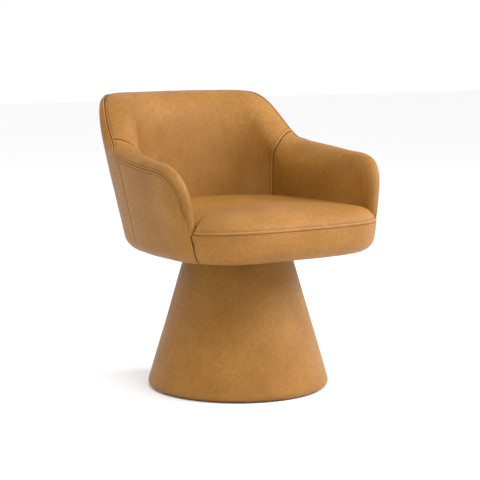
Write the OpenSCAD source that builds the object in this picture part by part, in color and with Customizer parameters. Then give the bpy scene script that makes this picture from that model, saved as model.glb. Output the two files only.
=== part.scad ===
// Pedestal swivel armchair: a leather tub seat that turns on a leather-clad cone.
// The origin is on the floor, on the swivel axis. +Z is up and the sitter looks along -Y.
// The tub's skin is one surface, given by an angle round the plan, a height and a depth below
// the leather. Every frame, foam and cover of the tub is a sheet between two depths of it.

/* [Tub plan] */
// Half width of the tub at the plan height
half_width = 308; // [295:1:320]
// From the centre of the plan to the front
front_reach = 214; // [205:1:225]
// From the centre of the plan to the back
back_reach = 378; // [365:1:390]
// How far the centre of the plan lies ahead of the swivel axis
plan_lead = 95; // [80:1:110]
// Squareness of the front half of the plan, where 2 is an ellipse
front_squareness = 3.25; // [2.8:0.05:3.8]
// Squareness of the back half of the plan, where 2 is an ellipse
back_squareness = 2.9; // [2.4:0.05:3.3]
// How far the sides lean out for each unit of height
side_flare = 0.17; // [0.1:0.01:0.22]
// How far the front leans out for each unit of height
front_flare = 0.05; // [0:0.01:0.1]
// How far the back leans out for each unit of height
back_flare = 0.28; // [0.2:0.01:0.34]

/* [Tub heights] */
// Underside of the tub above the floor
underside_height = 368; // [360:0.5:375]
// Height of the front band, from the underside to the seam below the seat
band_height = 77; // [70:1:84]
// Height of the arms above that seam, where their front ends turn down
arm_lift = 169; // [150:1:185]
// How much the arms rise from there to the back
arm_rise = 24; // [14:1:32]
// How much the back stands above the rear of the arms
back_lift = 130; // [105:1:145]
// How far above the underside the plan's sizes are measured
plan_lift = 112; // [100:1:125]
// Radius of the tub's rounded lower edge
edge_radius = 34; // [30:1:38]

/* [Rim] */
// Plan angle of the front ends of the arms, from straight ahead
foot_angle = 65; // [63:0.5:68]
// Plan angle where the arm's front curve reaches the arm's height
arm_angle = 92; // [90:1:98]
// Plan angle where the rim starts to climb to the back
wing_angle = 124; // [120:1:128]
// Plan angle where the rim reaches the back's height
crown_angle = 150; // [146:1:154]
// Roundness of the arm's front curve, where 2 is an ellipse
arm_roundness = 2.5; // [2:0.1:2.8]
// Thickness of the arms at the rim
arm_thickness = 40; // [34:1:44]
// Thickness of the back at the rim
back_thickness = 95; // [84:1:102]
// Thickness of the wall at the seat
base_thickness = 44; // [42:1:50]
// Thickness of the foam inside the arms at their front ends, at the seat
foot_foam_thickness = 2.5; // [2:0.5:10]
// Height of the rim's outer half round on the arms
arm_outer_roll = 20; // [16:1:24]
// Height of the rim's outer half round on the back
back_outer_roll = 26; // [22:1:34]
// Height of the rim's inner half round on the arms
arm_inner_roll = 26; // [20:1:30]
// Height of the rim's inner half round on the back
back_inner_roll = 52; // [40:1:60]

/* [Seat] */
// How far the seat's edge along the walls lies above the front seam
seat_edge_lift = 36; // [30:1:38]
// How far that edge lies above the front seam at the arms' front ends
seat_foot_lift = 10; // [6:1:14]
// How far the seat's shoulder, where its rounded edge ends, lies above the front seam
seat_shoulder_lift = 40; // [39:1:46]
// How much the middle of the seat stands above its shoulder
seat_crown = 5; // [3:1:10]
// Width of the seat's rounded edge
seat_edge_round = 30; // [24:1:36]

/* [Upholstery and frame] */
// Thickness of the leather
leather = 1.6; // [1.2:0.1:2]
// Thickness of the padding on the outside of the tub
padding = 6; // [5:0.5:8]
// Thickness of the moulded frame
frame_thickness = 10; // [8:0.5:11]
// Width of the leather turned in under the tub
turned_margin = 20; // [16:1:26]
// Thickness of each of the two boards of the deck
deck_thickness = 15.6; // [14:0.2:16]
// Thickness of the dust cover
dust_cover_thickness = 0.8; // [0.6:0.1:1]
// Height of the front rail
front_rail_height = 26; // [22:1:28]

/* [Cone] */
// Radius that the cone's side would have at the floor
cone_foot_radius = 242; // [234:0.5:248]
// Radius that the cone's side would have at the cone's top
cone_head_radius = 137.5; // [133:0.5:142]
// Radius of the cone's rounded foot
cone_foot_round = 16; // [15.5:0.5:20]
// Radius of the cone's rounded top edge
cone_top_round = 8; // [6:0.5:10]
// Height of the leather's lowest point above the floor
cone_lift = 5; // [4:0.5:6]
// Thickness of the foam under the cone's leather
cone_foam_thickness = 4; // [3:0.5:5]
// Thickness of the cone's moulded core
core_thickness = 8; // [6:0.5:8]
// Radius of the bare ring inside the leather under the cone
foot_opening_radius = 215; // [210:1:217]
// Thickness of the glide pad on the floor
pad_thickness = 3; // [2:0.5:3.5]
// Radius of the glide pad
pad_radius = 220; // [214:1:224]
// Thickness of the steel ballast plate
ballast_thickness = 6; // [4:0.5:6]
// Radius of the steel ballast plate
ballast_radius = 212; // [200:1:214]
// Thickness of the cone's bottom board
bottom_board_thickness = 18; // [15:1:20]
// Thickness of the cone's top board
top_board_thickness = 16; // [15:1:18]

/* [Column] */
// Outer radius of the steel column
column_radius = 30; // [25:1:35]
// Wall of the steel column
column_wall = 3; // [2:0.5:4]
// Radius of the column's two flanges
flange_radius = 62; // [56:1:70]
// Thickness of the column's two flanges
flange_thickness = 4; // [3:0.5:5]
// Radius of the circle of screws in each flange
flange_screw_circle = 47; // [45:1:49]

/* [Swivel] */
// Radius of the lower swivel plate
lower_plate_radius = 100; // [96:1:104]
// Radius of the upper swivel plate
upper_plate_radius = 106; // [102:1:109]
// Thickness of each swivel plate
plate_thickness = 3.5; // [3:0.5:4]
// Space between the two swivel plates
plate_gap = 5; // [5:0.5:6]
// Radius of the circle that the balls run on
race_radius = 72; // [68:1:76]
// Radius of a ball
ball_radius = 3; // [2.8:0.1:3.2]
// Number of balls
ball_count = 24; // [16:1:32]
// Radius of the king pin
pin_radius = 8; // [6:0.5:9]
// Radius of the circle of bolts in the upper plate
bolt_circle = 90; // [88:1:92]
// Radius of the circle of screws in the lower plate
plate_screw_circle = 45; // [40:1:50]
// Radius of the opening in the lower deck board above the pin
deck_hole_radius = 24; // [22:1:28]

/* [Hidden] */

// Air left between two layers that lie on each other
air = 0.3;
// How far a cutting shape reaches past what it cuts
overrun = 1;
// Step for measuring the slope of a curve, as an angle and as a share of the rim
probe_angle = 0.06;
probe_share = 0.001;
$fn = 96;

// Heights of the tub, from the underside up
seam_height = underside_height + band_height;
arm_height = seam_height + arm_lift;
back_height = arm_height + arm_rise + back_lift;
plan_height = underside_height + plan_lift;
seat_shoulder_height = seam_height + seat_shoulder_lift;

// Layers of the tub, as depths below the leather's face
padding_depth = leather + air;
frame_depth = padding_depth + padding + air;
lining_depth = frame_depth + frame_thickness + air;
foot_thickness = lining_depth + foot_foam_thickness + padding_depth;

// Heights of the deck
deck_bottom = underside_height + leather + air;
deck_middle = deck_bottom + deck_thickness;
deck_top = deck_middle + air + deck_thickness;

// Brackets that hold the frame to the deck
bracket_leg = 20;
bracket_width = 22;
bracket_thickness = 2;
bracket_gap = 1;
bracket_angles = [30, 88, 112, 140, 165, 195, 220, 248, 272, 330];

// Shares of the rim from an arm's front end to the middle of the back
arm_share = 0.22;
outside_seam_share = 0.43;
inside_seam_share = 0.555;
seam_gap_share = 0.0008;
inside_foot_angle = 8;
wall_curve_power = 1.5;
foot_roll_share = 0.15;
foot_taper_share = 0.12;
// How far past the arms' front ends the walls reach their full thickness and the seat its edge
foot_growth_angle = 24;

// Shares and angles of the rim's seam, as places round its half round
seam_foot_turn_angle = 8;
seam_curve_turn_angle = 17;
seam_arm_turn_angle = 6;
seam_back_turn_angle = 75;
seam_climb_start_angle = 112;
seam_climb_end_angle = 131;
seam_gap_turn_angle = 1.2;
back_roll_power = 0.75;

// Heights of the swivel, from the deck down
upper_plate_bottom = deck_bottom - plate_thickness;
ball_height = upper_plate_bottom - plate_gap / 2;
lower_plate_top = upper_plate_bottom - plate_gap;
cone_board_top = lower_plate_top - plate_thickness;
cone_board_bottom = cone_board_top - top_board_thickness;
cone_top = cone_board_top + air + leather;

// Heights of the pedestal, from the floor up
ballast_top = pad_thickness + ballast_thickness;
bottom_board_top = ballast_top + bottom_board_thickness;

function ease(t) = let (u = max(0, min(1, t))) u * u * (3 - 2 * u);
function mix(a, b, t) = a + (b - a) * t;
function reversed(list) = [for (i = [len(list) - 1:-1:0]) list[i]];
function steps(n) = [for (i = [0:n]) i / n];

// Distance of the tub's skin from the plan's centre: a rounded square with its own reach and
// squareness ahead of the centre and behind it, which grows with the height
function plan_radius(angle, height) =
    let (
        rise = height - plan_height,
        ahead = cos(angle) > 0,
        side = half_width + side_flare * rise,
        reach = ahead ? front_reach + front_flare * rise : back_reach + back_flare * rise,
        power = ahead ? front_squareness : back_squareness
    )
    pow(pow(abs(sin(angle)) / side, power) + pow(abs(cos(angle)) / reach, power), -1 / power);

// The point at an angle round the plan, a height, and a depth square to the skin in plan
function skin(angle, height, depth) =
    let (
        radius = plan_radius(angle, height),
        growth = (plan_radius(angle + probe_angle, height) - plan_radius(angle - probe_angle, height))
            / (2 * probe_angle * PI / 180),
        along_x = growth * sin(angle) + radius * cos(angle),
        along_y = radius * sin(angle) - growth * cos(angle),
        size = norm([along_x, along_y])
    )
    [
        radius * sin(angle) - along_y / size * depth,
        -plan_lead - radius * cos(angle) + along_x / size * depth,
        height
    ];
function on_skin(place) = skin(place[0], place[1], place[2]);

// The rim: its height over the plan angle, and its run from an arm's front end (share 0)
// to the middle of the back (share 1)
function rim_line(angle) =
    arm_height + arm_rise * max(0, min(1, (angle - arm_angle) / (wing_angle - arm_angle)))
        + (back_height - arm_height - arm_rise) * ease((angle - wing_angle) / (crown_angle - wing_angle));
function rim_angle(share) =
    share < arm_share
        ? arm_angle - (arm_angle - foot_angle) * pow(cos(90 * share / arm_share), 2 / arm_roundness)
        : mix(arm_angle, 180, (share - arm_share) / (1 - arm_share));
function rim_height(share) =
    let (climb = share < arm_share ? pow(sin(90 * share / arm_share), 2 / arm_roundness) : 1)
    seam_height + (rim_line(rim_angle(share)) - seam_height) * climb;

// Sizes that change along the rim from the arms to the back
function toward_back(angle) = ease((angle - foot_angle) / (crown_angle - 20 - foot_angle));
function rim_thickness(angle) = mix(arm_thickness, back_thickness, toward_back(angle));
function outer_roll(angle) = mix(arm_outer_roll, back_outer_roll, toward_back(angle));
function inner_roll(angle) = mix(arm_inner_roll, back_inner_roll, toward_back(angle));
function past_foot(angle) = max(0, min(1, (angle - foot_angle) / foot_growth_angle));
function foot_of_wall(angle) = mix(foot_thickness, base_thickness, ease(past_foot(angle)));
function wall_thickness(angle, height) =
    let (
        top = rim_line(angle) - inner_roll(angle),
        up = max(0, min(1, (height - deck_top) / (top - deck_top)))
    )
    mix(foot_of_wall(angle), rim_thickness(angle), pow(up, wall_curve_power));

// Unit direction from the wall to the rim's crest, in angle times half width and in height
function rim_outward(share) =
    let (
        low = max(0, share - probe_share),
        high = min(1, share + probe_share),
        run = (rim_angle(high) - rim_angle(low)) * PI / 180 * half_width,
        climb = rim_height(high) - rim_height(low),
        size = norm([run, climb])
    )
    [-climb / size, run / size];

// A place on the rim's half round: turn 0 is its outer edge, 90 its crest, 180 its inner edge
function roll(share, turn, depth) =
    let (
        angle = rim_angle(share),
        out = rim_outward(share),
        taper = mix(foot_roll_share, 1, ease(share / foot_taper_share)),
        tall = (turn < 90 ? outer_roll(angle) : inner_roll(angle)) * taper,
        power = turn < 90 ? mix(1, back_roll_power, toward_back(angle)) : 1,
        up = pow(abs(sin(turn)), power) * (tall - depth) - tall,
        over = sign(cos(turn)) * pow(abs(cos(turn)), power),
        place_angle = angle + out[0] * up / half_width * 180 / PI,
        place_height = rim_height(share) + out[1] * up,
        foot = rim_height(share) - out[1] * inner_roll(angle) * taper,
        thick = wall_thickness(angle, foot)
    )
    [place_angle, place_height, thick / 2 - (thick / 2 - depth) * over];

// Plan angle of the wall's foot below a share of the rim
function foot_line(share) = mix(foot_angle, 180, share);

// Places below the rim, on the outside: the turned margin, the rounded edge and the wall
function margin(share, t, depth) =
    [foot_line(share), underside_height + depth, edge_radius + turned_margin * (1 - t)];
function edge(share, t, depth) =
    [
        foot_line(share),
        underside_height + edge_radius - (edge_radius - depth) * cos(90 * t),
        edge_radius - (edge_radius - depth) * sin(90 * t)
    ];
function wall(share, t, depth) =
    let (low = edge(share, 1, depth), high = roll(share, 0, depth)) mix(low, high, t);

// Places below the rim, on the inside, from the half round down to the foam's foot. The inside
// seams swing back on their way down.
foam_foot = deck_top + bracket_leg + 2 * air;
function inside_foot(share) = foot_line(share) + inside_foot_angle * sin(180 * share);
function lining(share, t, depth) =
    let (
        high = roll(share, 180, depth),
        angle = mix(high[0], inside_foot(share), t),
        height = mix(high[1], foam_foot, t)
    )
    [angle, height, wall_thickness(angle, height) - depth];
function lining_foot(share, depth) =
    let (angle = inside_foot(share)) [angle, deck_top + air, foot_of_wall(angle) - depth];
// Places on the frame's two faces and on the foam that lies on it, from the foam's foot up
function shell(share, t, depth) =
    mix([foot_line(share), foam_foot, depth], roll(share, 0, depth), t);
function frame_cap(share, turn) =
    let (
        base = roll(share, 0, 0),
        out = rim_outward(share),
        middle = (frame_depth + lining_depth) / 2
    )
    [
        base[0] + out[0] * air / half_width * 180 / PI,
        base[1] + out[1] * air,
        middle - (lining_depth - middle) * cos(turn)
    ];

// Where the seam of the outside covers lies on the half round
function seam_turn(share) =
    let (
        curve = mix(seam_foot_turn_angle, seam_curve_turn_angle, ease(share / foot_taper_share)),
        arm = mix(curve, seam_arm_turn_angle, ease((share - arm_share) / foot_taper_share)),
        climb = (rim_angle(share) - seam_climb_start_angle) / (seam_climb_end_angle - seam_climb_start_angle)
    )
    mix(arm, seam_back_turn_angle, ease(climb));

// Stations run from the right arm's front end (0) over the back (1) to the left one (2)
full_turn_angle = 360;
function side_of(station, place) =
    station <= 1 ? place : [full_turn_angle - place[0], place[1], place[2]];
function share_of(station) = station <= 1 ? station : 2 - station;
function at(station, place) = on_skin(side_of(station, place));

arm_steps = 9;
wing_steps = 4;
back_steps = 7;
edge_steps = 4;
wall_steps = 4;
outer_roll_steps = 3;
inner_roll_steps = 7;
lining_steps = 5;
front_crowding_power = 1.35;
padding_reach_share = 0.998;
// The stations that every layer shares: the arm with its curved front, the wing between the
// outside seam and the inside seam, and half of the back
arm_run = [for (t = steps(arm_steps)) outside_seam_share * pow(t, front_crowding_power)];
wing_run = [for (t = steps(wing_steps)) mix(outside_seam_share, inside_seam_share, t)];
half_back_run = [for (t = steps(back_steps)) mix(inside_seam_share, 1, t)];
function joined(first, second) = concat(first, [for (i = [1:len(second) - 1]) second[i]]);
function left_of(stations) = [for (s = reversed(stations)) 2 - s];
function seamed(stations) =
    [for (i = [0:len(stations) - 1]) i == 0 ? stations[0] + seam_gap_share
        : i == len(stations) - 1 ? stations[i] - seam_gap_share : stations[i]];
inside_arm_run = joined(arm_run, wing_run);
outside_half_run = joined(wing_run, half_back_run);
outside_back_run = joined(outside_half_run, left_of(outside_half_run));
inside_back_run = joined(half_back_run, left_of(half_back_run));
whole_run = joined(joined(arm_run, outside_back_run), left_of(arm_run));

// Columns of points at one station, at one depth below the leather's face
function edge_points(station, depth) =
    [for (t = steps(edge_steps)) at(station, edge(share_of(station), t, depth))];
function wall_points(station, depth) =
    [for (t = steps(wall_steps)) if (t > 0) at(station, wall(share_of(station), t, depth))];
function outer_roll_points(station, depth) =
    let (stop = seam_turn(share_of(station)) - seam_gap_turn_angle)
    [for (t = steps(outer_roll_steps)) if (t > 0) at(station, roll(share_of(station), stop * t, depth))];
function inner_roll_points(station, depth) =
    let (start = seam_turn(share_of(station)) + seam_gap_turn_angle)
    [for (t = steps(inner_roll_steps)) at(station, roll(share_of(station), mix(start, 180, t), depth))];
function lining_points(station, depth) =
    [for (t = steps(lining_steps)) if (t > 0) at(station, lining(share_of(station), t, depth))];

function outer_column(station, depth) =
    concat(
        [at(station, margin(share_of(station), 0, depth))],
        edge_points(station, depth),
        wall_points(station, depth),
        outer_roll_points(station, depth)
    );
function inner_column(station, depth) =
    concat(
        inner_roll_points(station, depth),
        lining_points(station, depth),
        [at(station, lining_foot(share_of(station), depth))]
    );
function padding_points(station, depth) =
    [
        for (t = steps(wall_steps))
            if (t > 0) at(station, wall(share_of(station), t * padding_reach_share, depth))
    ];
function padding_column(station, depth) = concat(
    edge_points(station, depth),
    padding_points(station, depth)
);
function shell_points(station, depth) =
    [for (t = steps(lining_steps)) at(station, shell(share_of(station), t, depth))];
function frame_column(station, depth) =
    concat(
        [at(station, [foot_line(share_of(station)), deck_top + air, depth])],
        shell_points(station, depth)
    );
function foam_face(station) =
    concat(
        [at(station, roll(share_of(station), 0, padding_depth))],
        outer_roll_points(station, padding_depth),
        inner_roll_points(station, padding_depth),
        lining_points(station, padding_depth)
    );
function foam_back(station) =
    let (
        share = share_of(station),
        turns = concat(steps(outer_roll_steps), [for (t = steps(inner_roll_steps)) 1 + t])
    )
    concat(
        [for (t = turns) at(station, frame_cap(share, 180 * t / 2))],
        [for (t = steps(lining_steps)) if (t > 0) at(station, shell(share, 1 - t, lining_depth))]
    );

// A closed sheet between two grids of points, given as columns, its face first. A crossed rear is
// split along the other diagonals, for a rear whose rows run against those of what it lies on.
module sheet(face, rear, crossed = false) {
    columns = len(face);
    rows = len(face[0]);
    total = columns * rows;
    points = concat([for (c = face) for (p = c) p], [for (c = rear) for (p = c) p]);
    function f(i, j) = i * rows + j;
    function r(i, j) = total + i * rows + j;
    faces = concat(
        [for (i = [0:columns - 2]) for (j = [0:rows - 2]) [f(i, j), f(i, j + 1), f(i + 1, j + 1)]],
        [for (i = [0:columns - 2]) for (j = [0:rows - 2]) [f(i, j), f(i + 1, j + 1), f(i + 1, j)]],
        [for (i = [0:columns - 2]) for (j = [0:rows - 2])
            [r(i, j), r(i + 1, crossed ? j : j + 1), r(i, j + 1)]],
        [for (i = [0:columns - 2]) for (j = [0:rows - 2])
            [r(i, crossed ? j + 1 : j), r(i + 1, j), r(i + 1, j + 1)]],
        [for (i = [0:columns - 2]) [f(i, 0), f(i + 1, 0), r(i + 1, 0)]],
        [for (i = [0:columns - 2]) [f(i, 0), r(i + 1, 0), r(i, 0)]],
        let (j = rows - 1) [for (i = [0:columns - 2]) [f(i + 1, j), f(i, j), r(i, j)]],
        let (j = rows - 1) [for (i = [0:columns - 2]) [f(i + 1, j), r(i, j), r(i + 1, j)]],
        [for (j = [0:rows - 2]) [f(0, j + 1), f(0, j), r(0, j + 1)]],
        [for (j = [0:rows - 2]) [r(0, j + 1), f(0, j), r(0, j)]],
        let (i = columns - 1) [for (j = [0:rows - 2]) [f(i, j), f(i, j + 1), r(i, j + 1)]],
        let (i = columns - 1) [for (j = [0:rows - 2]) [f(i, j), r(i, j + 1), r(i, j)]]
    );
    polyhedron(points = points, faces = faces);
}

module outer_cover(stations) {
    sheet(
        [for (s = stations) outer_column(s, 0)],
        [for (s = stations) outer_column(s, leather)]
    );
}
module inner_cover(stations) {
    sheet(
        [for (s = stations) inner_column(s, 0)],
        [for (s = stations) inner_column(s, leather)]
    );
}
module wall_foam(stations) {
    sheet([for (s = stations) foam_face(s)], [for (s = stations) foam_back(s)], crossed = true);
}

// The seat's outline, as plan angles and depths: along the front band, in beside each arm's
// front end, and round the walls, where its edge climbs away from the arms' front ends
foot_gap_angle = 0.3;
front_end_angle = foot_angle - foot_gap_angle;
seat_gap = 2;
function side_depth(angle) =
    let (near = min(angle, full_turn_angle - angle))
    max(foot_of_wall(near), wall_thickness(near, seat_shoulder_height)) + seat_gap;
function side_height(angle) =
    let (near = min(angle, full_turn_angle - angle))
    seam_height + mix(seat_foot_lift, seat_edge_lift, sqrt(past_foot(near)));
front_marks = [for (t = steps(20)) mix(-front_end_angle, front_end_angle, t)];
side_marks = [for (t = steps(34)) mix(front_end_angle, full_turn_angle - front_end_angle, t)];
function seat_outline(front_depth, inset) =
    concat(
        [for (a = front_marks) [a, front_depth]],
        [for (a = side_marks) [a, side_depth(a) + inset]]
    );
seat_marks = len(front_marks) + len(side_marks);
seat_front_count = len(front_marks);
seat_middle = [0, -plan_lead + (back_reach - front_reach) / 2];

// One ring of the seat's rounded edge, by its turn from upright (0) to flat (90), and one ring
// of its crown, by its share of the way out from the middle; both lie an inset below the face
function edge_ring(turn, inset) =
    let (
        inward = seat_edge_round * (1 - cos(turn)) + inset * cos(turn),
        outline = seat_outline(inward, inward)
    )
    [
        for (i = [0:seat_marks - 1])
            let (
                low = i < seat_front_count ? seam_height + air : side_height(outline[i][0]),
                p = skin(outline[i][0], low, outline[i][1])
            )
            [p.x, p.y, low + (seat_shoulder_height - low - inset) * sin(turn)]
    ];
function crown_ring(share, inset) =
    [
        for (p = edge_ring(90, inset))
            concat(mix(seat_middle, [p.x, p.y], share), [p.z + seat_crown * (1 - share * share)])
    ];
function seat_rings(inset) =
    concat(
        [for (turn = [0, 22, 45, 67]) edge_ring(turn, inset)],
        [for (share = [1, 0.8, 0.5, 0.2]) crown_ring(share, inset)]
    );
function seat_level(front_depth, inset, height) =
    let (outline = seat_outline(front_depth, inset))
    [for (o = outline) skin(o[0], height, o[1])];

// A closed solid from rings of equal counts, the first at its foot, ended by two flat fans. A
// crossed one is split along the other diagonals, for rings that turn back over another solid.
module stack(rings, top_middle, foot_middle, crossed = false) {
    n = len(rings[0]);
    count = len(rings);
    points = concat([for (ring = rings) for (p = ring) p], [top_middle, foot_middle]);
    top = count * n;
    function v(k, i) = k * n + i % n;
    faces = concat(
        [for (k = [0:count - 2]) for (i = [0:n - 1])
            [v(k, i), v(k + 1, crossed ? i : i + 1), v(k, i + 1)]],
        [for (k = [0:count - 2]) for (i = [0:n - 1])
            [v(k, crossed ? i + 1 : i), v(k + 1, i), v(k + 1, i + 1)]],
        [for (i = [0:n - 1]) [v(count - 1, i), top, v(count - 1, i + 1)]],
        [for (i = [0:n - 1]) [v(0, i + 1), top + 1, v(0, i)]]
    );
    polyhedron(points = points, faces = faces);
}

// Pedestal

slope = (cone_foot_radius - cone_head_radius) / cone_top;
lean = atan(slope);
function cone_side(height) = cone_foot_radius - slope * height;
foot_arc_height = cone_lift + cone_foot_round;
foot_arc_radius = cone_side(foot_arc_height) - cone_foot_round / cos(lean);
top_arc_height = cone_top - cone_top_round;
top_arc_radius = cone_side(top_arc_height) - cone_top_round / cos(lean);
function arc(middle_radius, middle_height, radius, from, to, count) =
    [
        for (t = steps(count))
            let (b = mix(from, to, t)) [middle_radius + radius * cos(b), middle_height + radius * sin(b)]
    ];
function foot_arc(depth) =
    arc(foot_arc_radius, foot_arc_height, cone_foot_round - depth, -90, lean, 8);
function top_arc(depth) =
    arc(top_arc_radius, top_arc_height, cone_top_round - depth, lean, 90, 5);
function side_end(depth, height) = [cone_side(height) - depth / cos(lean), height];

foam_depth = leather + air;
core_depth = foam_depth + cone_foam_thickness + air;
core_inside = core_depth + core_thickness;
core_top = cone_board_bottom;
foam_top = cone_board_top - cone_top_round;
rim_opening_radius = upper_plate_radius + plate_thickness;

screw_radius = 2.5;
screw_head_radius = 4.8;
screw_head_height = 3;
screw_length = 14;
screw_count = 4;
flange_screw_turn_angle = 45;
ballast_screw_count = 8;
ballast_screw_circle_radius = 175;

pin_flange_radius = 14;
pin_flange_thickness = 2.5;
pin_washer_radius = 19;
pin_washer_thickness = 2;
pin_head_radius = 12;
pin_head_height = 4;
race_clearance = 0.3;
pin_clearance = 0.08;
pin_seat_clearance = 0.03;
cage_width = 9;
cage_thickness = 2;
bolt_radius = 3;
bolt_head_radius = 6;
bolt_length = 17;
nut_barrel_radius = 4.6;
nut_barrel_length = 9;
nut_flange_radius = 10;
nut_flange_thickness = 1.5;

module round_the_axis(count, radius, turn = 0) {
    for (i = [0:count - 1]) {
        rotate([0, 0, full_turn_angle * i / count + turn]) translate([radius, 0, 0]) children();
    }
}
module disc(radius, low, high) {
    translate([0, 0, low]) cylinder(r = radius, h = high - low);
}
// A screw that points up, its head's seat at a height
module screw_up(seat) {
    disc(screw_radius, seat - overrun, seat + screw_length);
    disc(screw_head_radius, seat - screw_head_height, seat);
}
module screw_hole(low, high) {
    disc(screw_radius + air, low, high);
}

module floor_pad() {
    color("dimgray") disc(pad_radius, 0, pad_thickness);
}
module ballast_plate() {
    color("silver") difference() {
        disc(ballast_radius, pad_thickness, ballast_top);
        round_the_axis(ballast_screw_count, ballast_screw_circle_radius) {
            disc(screw_head_radius + air, pad_thickness - overrun, pad_thickness + screw_head_height + air);
            screw_hole(pad_thickness, ballast_top + overrun);
        }
    }
}
module ballast_screws() {
    color("gray") round_the_axis(ballast_screw_count, ballast_screw_circle_radius) {
        screw_up(pad_thickness + screw_head_height);
    }
}
module bottom_board() {
    fit_low = side_end(core_inside + air, ballast_top + air)[0];
    fit_high = side_end(core_inside + air, bottom_board_top)[0];
    color("burlywood") difference() {
        translate([0, 0, ballast_top]) {
            cylinder(
                r1 = min(fit_low, foot_arc_radius),
                r2 = min(fit_high, foot_arc_radius),
                h = bottom_board_thickness
            );
        }
        round_the_axis(ballast_screw_count, ballast_screw_circle_radius) {
            screw_hole(ballast_top - overrun, pad_thickness + screw_head_height + screw_length + air);
        }
        round_the_axis(screw_count, flange_screw_circle, flange_screw_turn_angle) {
            screw_hole(
                bottom_board_top + flange_thickness - screw_length - air,
                bottom_board_top + overrun
            );
        }
    }
}
module flange(low) {
    difference() {
        disc(flange_radius, low, low + flange_thickness);
        disc(column_radius - column_wall, low - overrun, low + flange_thickness + overrun);
        round_the_axis(screw_count, flange_screw_circle, flange_screw_turn_angle) {
            screw_hole(low - overrun, low + flange_thickness + overrun);
        }
    }
}
module column_foot_flange() {
    color("darkgray") flange(bottom_board_top);
}
module column_top_flange() {
    color("darkgray") flange(cone_board_bottom - flange_thickness);
}
module column_foot_screws() {
    color("gray") round_the_axis(screw_count, flange_screw_circle, flange_screw_turn_angle) {
        translate([0, 0, bottom_board_top + flange_thickness]) mirror([0, 0, 1]) screw_up(0);
    }
}
module column_top_screws() {
    color("gray") round_the_axis(screw_count, flange_screw_circle, flange_screw_turn_angle) {
        screw_up(cone_board_bottom - flange_thickness);
    }
}
module column_tube() {
    low = bottom_board_top + flange_thickness;
    high = cone_board_bottom - flange_thickness;
    color("silver") difference() {
        disc(column_radius, low, high);
        disc(column_radius - column_wall, low - overrun, high + overrun);
    }
}
module top_board() {
    fit_low = side_end(core_depth, cone_board_bottom + air)[0];
    fit_high = side_end(core_depth, cone_board_top)[0];
    color("burlywood") difference() {
        translate([0, 0, cone_board_bottom + air]) {
            cylinder(r1 = fit_low, r2 = fit_high - cone_top_round / 2, h = top_board_thickness - air);
        }
        round_the_axis(screw_count, flange_screw_circle, flange_screw_turn_angle) {
            screw_hole(
                cone_board_bottom - overrun,
                cone_board_bottom - flange_thickness + screw_length + air
            );
        }
        round_the_axis(screw_count, plate_screw_circle) {
            screw_hole(lower_plate_top - screw_length - air, cone_board_top + overrun);
        }
        disc(
            pin_flange_radius + air,
            cone_board_top - pin_flange_thickness - air,
            cone_board_top + overrun
        );
    }
}
module cone_core() {
    outside = concat(foot_arc(core_depth), [side_end(core_depth, core_top)]);
    inside = concat(foot_arc(core_inside), [side_end(core_inside, core_top)]);
    color("tan") rotate_extrude() polygon(concat(outside, reversed(inside)));
}
module cone_foam() {
    outside = concat(foot_arc(foam_depth), [side_end(foam_depth, foam_top)]);
    inside = concat(
        foot_arc(foam_depth + cone_foam_thickness),
        [side_end(foam_depth + cone_foam_thickness, foam_top)]
    );
    color("khaki") rotate_extrude() polygon(concat(outside, reversed(inside)));
}
module cone_cover() {
    outside = concat(
        [[foot_opening_radius, cone_lift]],
        foot_arc(0),
        top_arc(0),
        [[rim_opening_radius, cone_top]]
    );
    inside = concat(
        [[foot_opening_radius, cone_lift + leather]],
        foot_arc(leather),
        top_arc(leather),
        [[rim_opening_radius, cone_top - leather]]
    );
    color("peru") rotate_extrude() polygon(concat(outside, reversed(inside)));
}

// Swivel

module race() {
    translate([0, 0, ball_height]) {
        rotate_extrude() translate([race_radius, 0]) circle(r = ball_radius + race_clearance, $fn = 48);
    }
}
// A countersunk screw whose flat head lies at a height and which points along the sign
module sunk_screw(radius, head_radius, flat, length, sign) {
    translate([0, 0, flat]) mirror([0, 0, sign > 0 ? 0 : 1]) {
        cylinder(r1 = head_radius, r2 = radius, h = head_radius - radius);
        cylinder(r = radius, h = length);
    }
}
module lower_swivel_plate() {
    color("silver") difference() {
        disc(lower_plate_radius, cone_board_top, lower_plate_top);
        race();
        disc(pin_radius + pin_seat_clearance, cone_board_top - overrun, lower_plate_top + overrun);
        round_the_axis(screw_count, plate_screw_circle) {
            sunk_screw(
                screw_radius + air,
                screw_head_radius + air,
                lower_plate_top + air / 4,
                plate_thickness + overrun,
                -1
            );
        }
    }
}
module lower_plate_screws() {
    color("gray") round_the_axis(screw_count, plate_screw_circle) {
        sunk_screw(screw_radius, screw_head_radius, lower_plate_top, screw_length, -1);
    }
}
module king_pin() {
    head = deck_bottom + air + pin_washer_thickness + air;
    color("gray") {
        disc(pin_flange_radius, cone_board_top - pin_flange_thickness, cone_board_top);
        disc(pin_radius, cone_board_top - overrun, head + overrun);
        disc(pin_head_radius, head, head + pin_head_height);
    }
}
module pin_washer() {
    color("silver") difference() {
        disc(pin_washer_radius, deck_bottom + air, deck_bottom + air + pin_washer_thickness);
        disc(pin_radius + air, deck_bottom, deck_bottom + air + pin_washer_thickness + overrun);
    }
}
module ball_cage() {
    color("goldenrod") difference() {
        disc(
            race_radius + cage_width / 2,
            ball_height - cage_thickness / 2,
            ball_height + cage_thickness / 2
        );
        disc(race_radius - cage_width / 2, ball_height - cage_thickness, ball_height + cage_thickness);
        round_the_axis(ball_count, race_radius) {
            disc(ball_radius + air, ball_height - cage_thickness, ball_height + cage_thickness);
        }
    }
}
module bearing_balls() {
    color("lightgray") round_the_axis(ball_count, race_radius) {
        translate([0, 0, ball_height]) sphere(r = ball_radius, $fn = 32);
    }
}
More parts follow.
